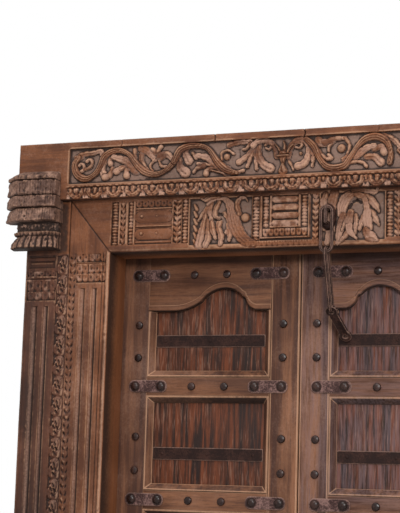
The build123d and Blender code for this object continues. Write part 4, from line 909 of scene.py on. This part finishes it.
def soft_copy(name, node, edge, material, swell=0.0, lip=0.0):
    """Copy of a CAD node with worn edges and painted shade on the faces that look down; swell makes wire
    stouter, lip rounds what stands out.
    """
    bm = clean_copy(node)
    bm.normal_update()
    if lip:
        round_lip(bm, lip)
    for vert, normal in [(vert, vert.normal.copy()) for vert in bm.verts]:
        vert.co += normal * swell * MM
    crest, sunk = (bm.faces.layers.float.new(label) for label in ("crest", "sunk"))
    corners = [item for item in bm.edges if item.calc_face_angle(0.0) > WORN_ANGLE]
    worn = bmesh.ops.bevel(bm, geom=corners, offset=edge * MM, offset_type="OFFSET", affect="EDGES",
                           segments=2, profile=0.5, material=-1, clamp_overlap=True)
    for face in worn["faces"]:
        face[crest] = 1.0
    for face in bm.faces:
        face.normal_update()
        # painted shade: faces that look down are marked for the dark grime colour
        face[sunk] = UNDERSIDE_SHADE * max(0.0, -face.normal.z)
    mesh = bpy.data.meshes.new(name)
    finish_mesh(mesh, bm, material, SHARP_JOINERY)
    return mesh


def islands(node):
    """Boxes of the loose parts of a CAD node, as low and high corners in metres."""
    bm = clean_copy(node)
    left = set(bm.verts)
    found = []
    while left:
        group, grow = set(), [left.pop()]
        while grow:
            vert = grow.pop()
            group.add(vert)
            for edge in vert.link_edges:
                other = edge.other_vert(vert)
                if other in left:
                    left.remove(other)
                    grow.append(other)
        spots = np.array([vert.co for vert in group])
        found.append((Vector(spots.min(0)), Vector(spots.max(0))))
    bm.free()
    return sorted(found, key=lambda pair: (pair[0].z, pair[0].x))


def extruded(bm, face):
    """Face pushed out of the one it starts from."""
    grown = bmesh.ops.extrude_face_region(bm, geom=[face])["geom"]
    if face.is_valid:
        bmesh.ops.delete(bm, geom=[face], context="FACES_ONLY")
    return next(item for item in grown if isinstance(item, bmesh.types.BMFace))


def shrink_face(bm, face, across, up):
    """Draw a face in about its own middle."""
    bmesh.ops.scale(bm, vec=(across, 1, up), verts=face.verts,
                    space=Matrix.Translation(-face.calc_center_median()))


def add_dome(bm, centre, seat, radius, tall, sides, washer=0.0):
    """Domed nail head that stands out of a face towards the front; sizes in millimetres."""
    made = bmesh.ops.create_circle(bm, cap_ends=True, segments=sides, radius=(washer or radius) * MM,
                                   matrix=Matrix.Translation((centre.x, seat, centre.z))
                                   @ Matrix.Rotation(math.pi / 2, 4, "X"))
    face = made["verts"][0].link_faces[0]
    steps = [(1.0, WASHER_RISE), (radius / washer, 0.0)] if washer else []
    for shrink, lift in steps + [(shrink, tall * share) for shrink, share in DOME_STEPS]:
        face = extruded(bm, face)
        shrink_face(bm, face, shrink, shrink)
        bmesh.ops.translate(bm, vec=(0, -lift * MM, 0), verts=face.verts)


def add_plate(bm, low, high, corner, edge):
    """Forged plate with round corners and eased edges, both in metres."""
    made = bmesh.ops.create_grid(bm, x_segments=1, y_segments=1, size=0.5)
    size = high - low
    turn = Matrix.Translation(((low.x + high.x) / 2, high.y, (low.z + high.z) / 2)) @ Matrix.Diagonal(
        (size.x, 1, size.z, 1)) @ Matrix.Rotation(math.pi / 2, 4, "X")
    bmesh.ops.transform(bm, matrix=turn, verts=made["verts"])
    rounded = bmesh.ops.bevel(bm, geom=made["verts"], offset=corner, offset_type="OFFSET", affect="VERTICES",
                              segments=5, profile=0.5, material=-1, clamp_overlap=True)
    top = extruded(bm, rounded["verts"][0].link_faces[0])
    bmesh.ops.translate(bm, vec=(0, -(size.y - edge), 0), verts=top.verts)
    before = set(bm.faces)
    top = extruded(bm, top)
    crest = bm.faces.layers.float["crest"]
    for face in set(bm.faces) - before - {top}:
        face[crest] = 1.0
    shrink_face(bm, top, 1 - 2 * edge / size.x, 1 - 2 * edge / size.z)
    bmesh.ops.translate(bm, vec=(0, -edge, 0), verts=top.verts)


# ---------------------------------------------------------------- materials

class Socket:
    """Output of a shader node that sums can be written with."""

    def __init__(self, shader, output):
        self.shader, self.output = shader, output

    def maths(self, operation, first, second):
        """Math node on two values."""
        return self.shader.node("ShaderNodeMath", {"operation": operation}, {0: first, 1: second})

    def __add__(self, other):
        return self.maths("ADD", self, other)

    __radd__ = __add__

    def __mul__(self, other):
        return self.maths("MULTIPLY", self, other)

    __rmul__ = __mul__

    def __sub__(self, other):
        return self.maths("SUBTRACT", self, other)

    def __rsub__(self, other):
        return self.maths("SUBTRACT", other, self)

    def between(self, low, high):
        """0 below low, 1 above high, eased between."""
        return self.shader.node("ShaderNodeMapRange", {"interpolation_type": "SMOOTHSTEP"},
                                {"Value": self, "From Min": low, "From Max": high})


class Shader:
    """Node tree that is filled one node at a time."""

    def __init__(self, tree):
        self.tree = tree
        tree.nodes.clear()

    def node(self, kind, settings, values, output=0):
        """Node of a kind with its settings, its socket values or links, and the output that is used."""
        made = self.tree.nodes.new(kind)
        for name, value in settings.items():
            setattr(made, name, value)
        for key, value in values.items():
            if isinstance(value, Socket):
                self.tree.links.new(value.output, made.inputs[key])
            else:
                made.inputs[key].default_value = value
        return Socket(self, made.outputs[output]) if len(made.outputs) else made

    def blend(self, share, first, second):
        """Colour between two."""
        return self.node("ShaderNodeMix", {"data_type": "RGBA"}, {0: share, 6: first, 7: second}, 2)

    def noise(self, place, scale, detail, rough=0.5, bend=0.0):
        """Smooth random pattern."""
        return self.node("ShaderNodeTexNoise", {}, {"Vector": place, "Scale": scale, "Detail": detail,
                                                   "Roughness": rough, "Distortion": bend})

    def mark(self, name):
        """Value painted on the mesh."""
        return self.node("ShaderNodeAttribute", {"attribute_name": name}, {}, "Fac")


def new_material(name):
    """Empty material and the shader that fills it."""
    material = bpy.data.materials.new(name)
    material.use_nodes = True
    return material, Shader(material.node_tree)


def paint(colour):
    """Colour with full cover."""
    return (*colour, 1.0)


HEAD_SHADOW_LEVEL = 1.85       # height above which the leaves take the painted shadow that the head casts
HEAD_SHADOW_BLUR = 0.008       # half the height over which that painted shadow sets in
STRETCH = {"level": (0.06, 1.0, 1.0), "upright": (1.0, 1.0, 0.06)}      # scale of the grain along a piece


def teak(name, grain, dark, light, colours, dusty=0.6, worn=0.5, streak=0.5, fine=1.0, spread=0.18, dry=0.0,
         ashen=0.0, sheltered=0.0):
    """Old teak: grain along the piece, grey ground, dust, dirt and painted shade in the cuts and under
    things, bare wood on crests, and the painted shadow of the head.
    """
    material, s = new_material(name)
    place = s.node("ShaderNodeTexCoord", {}, {}, "Object")
    along = s.node("ShaderNodeMapping", {}, {"Vector": place, "Scale": STRETCH[grain]})
    band = s.noise(along, 22.0 * fine, 3.0, 0.55, 0.4)
    line = s.noise(along, 130.0, 4.0, 0.7)
    fibre = s.noise(along, 420.0, 3.0, 0.7)
    patch = s.noise(place, 6.0, 5.0, 0.6)
    speck = s.noise(place, 150.0, 3.0, 0.65)
    stain = s.noise(along, 9.0, 5.0, 0.65, 0.8)
    crest, sunk, deep, pale, bare = (s.mark(label) for label in MARKS)
    tone = band * streak + patch * (1.0 - streak) + line * 0.35
    colour = s.blend(tone.between(0.68 - spread, 0.68 + spread), paint(dark), paint(light))
    colour = s.blend(fibre.between(0.48, 0.72) * 0.6, colour, paint(dark))
    colour = s.blend((stain * 0.7 + line * 0.4).between(0.5, 0.72) * 0.65, colour, paint(dark))
    colour = s.blend((deep * (patch + speck)).between(0.3, 1.1) * 0.85, colour, paint(colours.ground))
    colour = s.blend(bare * (0.35 + band * 0.6), colour, paint(colours.bare))
    dust = (patch * 0.8 + speck * 0.5).between(0.6, 0.95) * dusty * (1.0 - bare)
    colour = s.blend(dust, colour, paint(colours.dust))
    if dry:
        hair = s.noise(along, 300.0, 2.0, 0.6, 0.6) + patch * 0.5
        colour = s.blend(hair.between(0.78, 1.0) * dry, colour, paint(colours.pale))
    colour = s.blend((pale * (speck + line)).between(0.25, 1.0) * 0.8, colour, paint(colours.pale))
    colour = s.blend((crest * (patch + line)).between(0.45, 1.1) * worn, colour, paint(colours.worn))
    # grime in the cuts is partly dirt and partly painted shade; it also paints shade under faces that look
    # down and on the shaded side of flutes
    grime_and_shade = (sunk * (1.6 - speck * 0.6 - patch * 0.6)).between(0.2, 0.9) * 0.88
    colour = s.blend(grime_and_shade, colour, paint(colours.grime_and_shade))
    if ashen:
        right = s.node("ShaderNodeSeparateXYZ", {}, {"Vector": place}, "X").between(-0.001, 0.001)
        colour = s.blend(right * ashen * line.between(0.35, 0.65), colour, paint(colours.ashen))
    # painted shadow of the head: a dark band across the tops of the leaves, with a wavering soft edge
    if sheltered:
        level = s.node("ShaderNodeSeparateXYZ", {}, {"Vector": place}, "Z") + patch * 0.012
        head_shadow = level.between(HEAD_SHADOW_LEVEL - HEAD_SHADOW_BLUR, HEAD_SHADOW_LEVEL + HEAD_SHADOW_BLUR) * sheltered
        colour = s.blend(head_shadow, colour, paint(colours.grime_and_shade))
    bump = s.node("ShaderNodeBump", {}, {"Strength": 0.7, "Distance": 0.0015,
                                         "Height": fibre * 0.5 + speck * 0.4 + line * 0.6})
    shade = s.node("ShaderNodeBsdfPrincipled", {}, {
        "Base Color": colour, "Roughness": line * 0.3 + 0.55, "Normal": bump, "Specular IOR Level": 0.25})
    s.node("ShaderNodeOutputMaterial", {}, {"Surface": shade})
    return material


def forged_iron(name, dark, light, colours, rust, rubbed):
    """Blackened iron with brown rust and dust; rubbed iron takes a small bright spot."""
    material, s = new_material(name)
    place = s.node("ShaderNodeTexCoord", {}, {}, "Object")
    patch = s.noise(place, 26.0, 5.0, 0.65)
    speck = s.noise(place, 210.0, 3.0, 0.6)
    colour = s.blend((patch * 0.7 + speck * 0.5).between(0.53, 0.75) * rust, paint(dark), paint(light))
    edges = (s.mark("crest") * (patch + speck)).between(0.5, 1.2) * 0.55
    colour = s.blend(edges, colour, paint(colours.dust))
    bump = s.node("ShaderNodeBump", {}, {"Strength": 0.5, "Distance": 0.0012, "Height": patch + speck * 0.5})
    shade = s.node("ShaderNodeBsdfPrincipled", {}, {
        "Base Color": colour, "Roughness": patch * 0.3 + (0.5 - 0.36 * rubbed), "Normal": bump,
        "Specular IOR Level": 0.12 + 0.12 * rubbed})
    s.node("ShaderNodeOutputMaterial", {}, {"Surface": shade})
    return material


# Timbers: pair of colours, way of the grain, and what differs from the common finish.
TIMBERS = {
    "frame_level": ("frame", "level", {"dusty": 0.4, "spread": 0.13}),
    "frame_upright": ("frame", "upright", {"dusty": 0.35, "spread": 0.13}),
    "post_upright": ("post", "upright", {"dusty": 0.1, "worn": 0.45}),
    "capital_timber": ("capital", "upright", {"dusty": 0.6, "worn": 0.3}),
    # sheltered sets how dark the painted shadow of the head lies across the tops of the leaves
    "leaf_level": ("leaf", "level", {"dusty": 0.15, "worn": 0.45, "streak": 0.8, "spread": 0.15,
                                     "ashen": 0.22, "sheltered": 0.6}),
    "leaf_upright": ("leaf", "upright", {"dusty": 0.3, "worn": 0.7, "streak": 0.8, "spread": 0.14,
                                         "ashen": 0.24, "sheltered": 0.5}),
    "panel_boards": ("panel", "upright", {"dusty": 0.0, "worn": 0.3, "streak": 0.75, "fine": 3.4,
                                          "spread": 0.14, "dry": 0.32, "ashen": 0.36}),
}
# Irons: dark and light colour, how rusty and how rubbed they are.
IRONS = {
    "strap_iron": ("strap_dark", "strap_light", 1.0, 0.0),
    "band_iron": ("iron_dark", "iron_rust", 0.45, 0.0),
    "stud_iron": ("iron_dark", "iron_rust", 0.45, 1.0),
    "chain_iron": ("iron_dark", "iron_rust", 0.75, 0.0),
}


def shared(name):
    """Material of the door by name, made on first use."""
    found = bpy.data.materials.get(name)
    if found:
        return found
    colours = bpy.context.scene.door_colours
    if name in TIMBERS:
        pair, grain, finish = TIMBERS[name]
        dark, light = (getattr(colours, f"{pair}_{tone}") for tone in ("dark", "light"))
        return teak(name, grain, dark, light, colours, **finish)
    dark, light, rust, rubbed = IRONS[name]
    return forged_iron(name, getattr(colours, dark), getattr(colours, light), colours, rust, rubbed)


# ---------------------------------------------------------------- operators

class DoorStep:
    """What the steps of the door share."""
    bl_options = {"REGISTER", "UNDO"}


class DOOR_OT_beam(DoorStep, bpy.types.Operator):
    """Carve the frieze beam and the petal strip under it."""
    bl_idname = "door.beam"
    bl_label = "Frieze beam"

    def execute(self, context):
        settings = context.scene.door_carving
        for name, carve in (("frieze_beam", carve_frieze), ("bead_strip", carve_strip)):
            relief, front, back = carve(settings)
            piece(carved_block(f"carved_{name}", relief, front, back, shared("frame_level")),
                  "frame", "frame_wood", name)
        return {"FINISHED"}


class DOOR_OT_inner_frame(DoorStep, bpy.types.Operator):
    """Carve the inner head and both jambs."""
    bl_idname = "door.inner_frame"
    bl_label = "Inner frame"

    def execute(self, context):
        settings = context.scene.door_carving
        relief, front, back, cuts = carve_head(settings)
        piece(carved_block("carved_head", relief, front, back, shared("frame_level"), cuts),
              "frame", "frame_wood", "inner_head")
        for index, side in enumerate(SIDES):
            relief, front, back, cuts = carve_jamb(settings, index)
            mesh = carved_block(f"carved_{side}_jamb", relief, front, back, shared("frame_upright"), cuts)
            if side == "right":
                turned_over(mesh)
            piece(mesh, "frame", "frame_wood", f"{side}_inner_jamb")
        return {"FINISHED"}


class DOOR_OT_posts(DoorStep, bpy.types.Operator):
    """Carve the outer posts and their capitals."""
    bl_idname = "door.posts"
    bl_label = "Posts and capitals"

    def execute(self, context):
        settings = context.scene.door_carving
        for index, side in enumerate(SIDES):
            relief, front, back = carve_post(settings, index)
            mesh = carved_block(f"carved_{side}_post", relief, front, back, shared("post_upright"))
            if side == "right":
                turned_over(mesh)
            piece(mesh, "frame", "frame_wood", f"{side}_outer_post")
            mesh = capital_mesh(f"carved_{side}_capital", settings, 21 + index, shared("capital_timber"))
            if side == "right":
                turned_over(mesh)
            piece(mesh, "frame", "frame_wood", f"{side}_capital")
        return {"FINISHED"}


SILL_WEAR, CUP_WEAR = 1.6, 0.3      # rounding of the edges, as a share of the setting


class DOOR_OT_footings(DoorStep, bpy.types.Operator):
    """Soften the sill and the pivot blocks and cups."""
    bl_idname = "door.footings"
    bl_label = "Sill and pivots"

    def execute(self, context):
        edge = context.scene.door_carving.edge
        piece(soft_copy("worn_sill", "sill", edge * SILL_WEAR, shared("frame_level")),
              "frame", "frame_wood", "sill")
        for side in SIDES:
            piece(soft_copy(f"worn_{side}_block", f"{side}_pivot_block", edge, shared("frame_level")),
                  "frame", "frame_wood", f"{side}_pivot_block")
            piece(soft_copy(f"worn_{side}_cup", f"{side}_pivot_cup", edge * CUP_WEAR, shared("strap_iron")),
                  "frame", "forged_iron", f"{side}_pivot_cup")
        return {"FINISHED"}


LEAF_UPRIGHTS = ("hinge_stile", "meeting_stile", "panel_mouldings")
LEAF_RAILS = ("top_rail", "rail_1", "rail_2", "rail_3", "rail_4", "bottom_rail")
LEAF_PANELS = tuple(f"panel_{number}" for number in range(1, 6))
# Parts of a leaf, rounding of their edges as a share of the setting, timber and slot.
LEAF_TIMBER = ((LEAF_UPRIGHTS, 0.8, "leaf_upright", "leaf_wood"),
               (LEAF_RAILS, 0.8, "leaf_level", "leaf_wood"),
               (LEAF_PANELS, 0.5, "panel_boards", "panel_wood"))
ARCH_LIP = 6.0      # rounding under the arch of the top rail


class DOOR_OT_leaves(DoorStep, bpy.types.Operator):
    """Soften the timber of both leaves."""
    bl_idname = "door.leaves"
    bl_label = "Leaves"

    def execute(self, context):
        edge = context.scene.door_carving.edge
        for side in SIDES:
            for parts, share, material, slot in LEAF_TIMBER:
                for part in parts:
                    node = f"{side}_{part}"
                    lip = ARCH_LIP if part == "top_rail" else 0.0
                    piece(soft_copy(f"worn_{node}", node, edge * share, shared(material), 0.0, lip),
                          f"{side}_leaf", slot, node)
        return {"FINISHED"}


# Iron of the leaves, in millimetres: round corners of straps and bands, eased edge, nails and studs.
STRAP_CORNER, BAND_CORNER, PLATE_EDGE = 16.5, 4.0, 2.2
NAIL_RADIUS, NAIL_HEIGHT, NAIL_SIDES = 5.0, 2.5, 8
NAIL_PLACES = (0.09, 0.5, 0.91)     # shares of a band's length
STUD_RADIUS, STUD_SIDES = 12.5, 12
STUD_HEIGHT, STRAP_STUD_HEIGHT = 8.5, 7.0
WASHER_RADIUS = 15.5                # washer under a stud on a strap


class DOOR_OT_fittings(DoorStep, bpy.types.Operator):
    """Forge the straps, bands and studs of the leaves."""
    bl_idname = "door.fittings"
    bl_label = "Straps and studs"

    def execute(self, context):
        for side in SIDES:
            body = f"{side}_leaf"
            straps = islands(f"{side}_corner_straps")
            for node, corner, iron in ((f"{side}_corner_straps", STRAP_CORNER, "strap_iron"),
                                       (f"{side}_panel_straps", BAND_CORNER, "band_iron")):
                bm = bmesh.new()
                bm.faces.layers.float.new("crest")
                for low, high in islands(node):
                    add_plate(bm, low, high, corner * MM, PLATE_EDGE * MM)
                    for share in NAIL_PLACES if iron == "band_iron" else ():
                        spot = low.lerp(high, 0.5)
                        spot.x = low.x + (high.x - low.x) * share
                        add_dome(bm, spot, low.y, NAIL_RADIUS, NAIL_HEIGHT, NAIL_SIDES)
                mesh = bpy.data.meshes.new(f"forged_{node}")
                finish_mesh(mesh, bm, shared(iron), SHARP_JOINERY)
                piece(mesh, body, "forged_iron", node)
            bm = bmesh.new()
            for low, high in islands(f"{side}_studs"):
                spot = (low + high) / 2
                on_strap = any(a.x < spot.x < b.x and a.z < spot.z < b.z for a, b in straps)
                tall, washer = (STRAP_STUD_HEIGHT, WASHER_RADIUS) if on_strap else (STUD_HEIGHT, 0.0)
                add_dome(bm, spot, high.y, STUD_RADIUS, tall, STUD_SIDES, washer)
            mesh = bpy.data.meshes.new(f"forged_{side}_studs")
            finish_mesh(mesh, bm, shared("stud_iron"), SHARP_JOINERY)
            piece(mesh, body, "forged_iron", f"{side}_studs")
        return {"FINISHED"}


# Iron of the chain: node, body, rounding of its edges and how much stouter it is forged, in millimetres.
CHAIN_IRON = (("chain_link_1", "chain_link_1", 1.4, 1.3), ("chain_link_2", "chain_link_2", 1.4, 1.6),
              ("chain_hasp", "chain_hasp", 2.4, 3.4), ("leaf_peg", "right_leaf", 0.6, 0.0),
              ("lintel_staple", "frame", 1.4, 2.0))
EYE_WIDE, EYE_TALL, EYE_RIM, EYE_THICK = 50.0, 80.0, 15.0, 26.0     # eye of the staple
EYE_SIDES, EYE_STEPS = 8, 24        # faces round its rim and along it


def add_eye(mesh, node):
    """Heavy oval eye on the face of the head, round the feet of the staple."""
    left, right, _, _, bottom, top = span(node)
    middle, face = Vector(((left + right) / 2, 0, (bottom + top) / 2)) * MM, span("inner_head")[2] * MM
    bm = bmesh.new()
    bm.from_mesh(mesh)
    ring = bmesh.ops.create_circle(bm, cap_ends=False, segments=EYE_SIDES, radius=0.5)["verts"]
    bmesh.ops.transform(bm, verts=ring, matrix=Matrix.Translation((0.5 * (EYE_WIDE - EYE_RIM) * MM, 0, 0))
                        @ Matrix.Diagonal((EYE_RIM * MM, EYE_THICK * MM, 1, 1)))
    edges = list({edge for vert in ring for edge in vert.link_edges})
    bmesh.ops.spin(bm, geom=ring + edges, cent=(0, 0, 0), axis=(0, 1, 0), angle=2 * math.pi, steps=EYE_STEPS,
                   use_merge=True)
    made = [vert for vert in bm.verts if vert.index < 0 or vert.index >= len(mesh.vertices)]
    bmesh.ops.transform(bm, verts=made, matrix=Matrix.Translation((middle.x, face, middle.z))
                        @ Matrix.Diagonal((1, 1, EYE_TALL / EYE_WIDE, 1)))
    bmesh.ops.recalc_face_normals(bm, faces=bm.faces)
    bm.to_mesh(mesh)
    bm.free()
    mesh.polygons.foreach_set("use_smooth", [True] * len(mesh.polygons))


class DOOR_OT_chain(DoorStep, bpy.types.Operator):
    """Round the wire of the chain, its staple, hasp and peg."""
    bl_idname = "door.chain"
    bl_label = "Chain"

    def execute(self, context):
        for node, body, edge, swell in CHAIN_IRON:
            mesh = soft_copy(f"forged_{node}", node, edge, shared("chain_iron"), swell)
            if node == "lintel_staple":
                add_eye(mesh, node)
            piece(mesh, body, "forged_iron", node)
        return {"FINISHED"}


CAMERA_PLACE = (1.15886, -4.01414, 1.15892)
CAMERA_RIGHT = (0.94107, 0.33690, 0.02963)
CAMERA_UP = (0.02677, -0.16154, 0.98650)
CAMERA_BACK = (0.33714, -0.92758, -0.16104)
CAMERA_LENS, CAMERA_SENSOR = 100.31, 36.0
# Lights: name, setting that holds the strength, size and place.
LIGHTS = (("key_light", "key", 1.4, (2.0, -4.9, 3.0)), ("top_light", "top", 3.0, (-0.3, -2.4, 5.2)),
          ("back_light", "back", 3.0, (-1.5, 4.6, 3.6)))
LIGHT_AIM = (0.0, 0.0, 1.5)
SKY_COLOUR = (1.0, 0.985, 0.97)
FLOOR_HALF = 7.0
FLOOR_DROP = 0.0006     # the floor lies this far under the sill
FLOOR_SHADE = 0.93      # its darker patches


class DOOR_OT_stage(DoorStep, bpy.types.Operator):
    """Set the camera, the soft light, the white surroundings and the floor."""
    bl_idname = "door.stage"
    bl_label = "Stage"

    def execute(self, context):
        scene, stage = context.scene, context.scene.door_stage
        camera = bpy.data.objects.new("camera", bpy.data.cameras.new("camera"))
        camera.data.lens, camera.data.sensor_width = CAMERA_LENS, CAMERA_SENSOR
        turn = Matrix((CAMERA_RIGHT, CAMERA_UP, CAMERA_BACK)).transposed().to_4x4()
        camera.matrix_world = Matrix.Translation(CAMERA_PLACE) @ turn
        scene.collection.objects.link(camera)
        scene.camera = camera
        for name, setting, size, spot in LIGHTS:
            light = bpy.data.objects.new(name, bpy.data.lights.new(name, "AREA"))
            light.data.energy, light.data.size = getattr(stage, setting), size
            aim = Vector(spot) - Vector(LIGHT_AIM)
            light.matrix_world = Matrix.Translation(spot) @ aim.to_track_quat("Z", "Y").to_matrix().to_4x4()
            scene.collection.objects.link(light)
        scene.view_settings.view_transform = "Standard"

        world = scene.world or bpy.data.worlds.new("surroundings")
        scene.world = world
        world.use_nodes = True
        s = Shader(world.node_tree)
        seen = sum((s.node("ShaderNodeLightPath", {}, {}, ray) for ray in
                    ("Is Camera Ray", "Is Glossy Ray", "Is Transmission Ray")), start=0.0)
        white = s.node("ShaderNodeBackground", {}, {"Color": paint((1.0, 1.0, 1.0)), "Strength": 1.0})
        sky = s.node("ShaderNodeBackground", {}, {"Color": paint(SKY_COLOUR), "Strength": stage.sky})
        both = s.node("ShaderNodeMixShader", {}, {0: seen.between(0.0, 0.5), 1: sky, 2: white})
        s.node("ShaderNodeOutputWorld", {}, {"Surface": both})

        bm = bmesh.new()
        bmesh.ops.create_grid(bm, x_segments=1, y_segments=1, size=FLOOR_HALF)
        bmesh.ops.translate(bm, vec=(0, 0, -FLOOR_DROP), verts=bm.verts)
        mesh = bpy.data.meshes.new("floor")
        bm.to_mesh(mesh)
        bm.free()
        material, s = new_material("floor")
        place = s.node("ShaderNodeTexCoord", {}, {}, "Object")
        tone = s.noise(place, 3.0, 4.0).between(0.2, 0.8) * 0.25
        colour = s.blend(tone, paint(stage.floor), paint([FLOOR_SHADE * value for value in stage.floor]))
        shade = s.node("ShaderNodeBsdfPrincipled", {}, {"Base Color": colour, "Roughness": 0.8})
        s.node("ShaderNodeOutputMaterial", {}, {"Surface": shade})
        mesh.materials.append(material)
        floor = bpy.data.objects.new("floor", mesh)
        scene.collection.objects.link(floor)
        return {"FINISHED"}


STEPS = (DOOR_OT_stage, DOOR_OT_beam, DOOR_OT_inner_frame, DOOR_OT_posts, DOOR_OT_footings, DOOR_OT_leaves,
         DOOR_OT_fittings, DOOR_OT_chain)


class DOOR_PT_sidebar(bpy.types.Panel):
    """Settings and steps of the door."""
    bl_idname = "DOOR_PT_sidebar"
    bl_label = "Carved door"
    bl_space_type = "VIEW_3D"
    bl_region_type = "UI"
    bl_category = "Door"

    def draw(self, context):
        """List the settings, then the steps."""
        for group in (context.scene.door_carving, context.scene.door_colours, context.scene.door_stage):
            box = self.layout.box()
            for name in group.__annotations__:
                box.prop(group, name)
        for step in STEPS:
            self.layout.operator(step.bl_idname)


GROUPS = {"door_carving": DoorCarving, "door_colours": DoorColours, "door_stage": DoorStage}


def register():
    """Make the settings, the steps and the sidebar known."""
    for kind in (*GROUPS.values(), *STEPS, DOOR_PT_sidebar):
        bpy.utils.register_class(kind)
    for name, kind in GROUPS.items():
        setattr(bpy.types.Scene, name, bpy.props.PointerProperty(type=kind))


def unregister():
    """Take them away again."""
    for name in GROUPS:
        delattr(bpy.types.Scene, name)
    for kind in reversed((*GROUPS.values(), *STEPS, DOOR_PT_sidebar)):
        bpy.utils.unregister_class(kind)


def main():
    """Dress the door step by step."""
    register()
    bpy.ops.door.stage()
    bpy.ops.door.beam()
    bpy.ops.door.inner_frame()
    bpy.ops.door.posts()
    bpy.ops.door.footings()
    bpy.ops.door.leaves()
    bpy.ops.door.fittings()
    bpy.ops.door.chain()


if __name__ == "__main__":
    main()
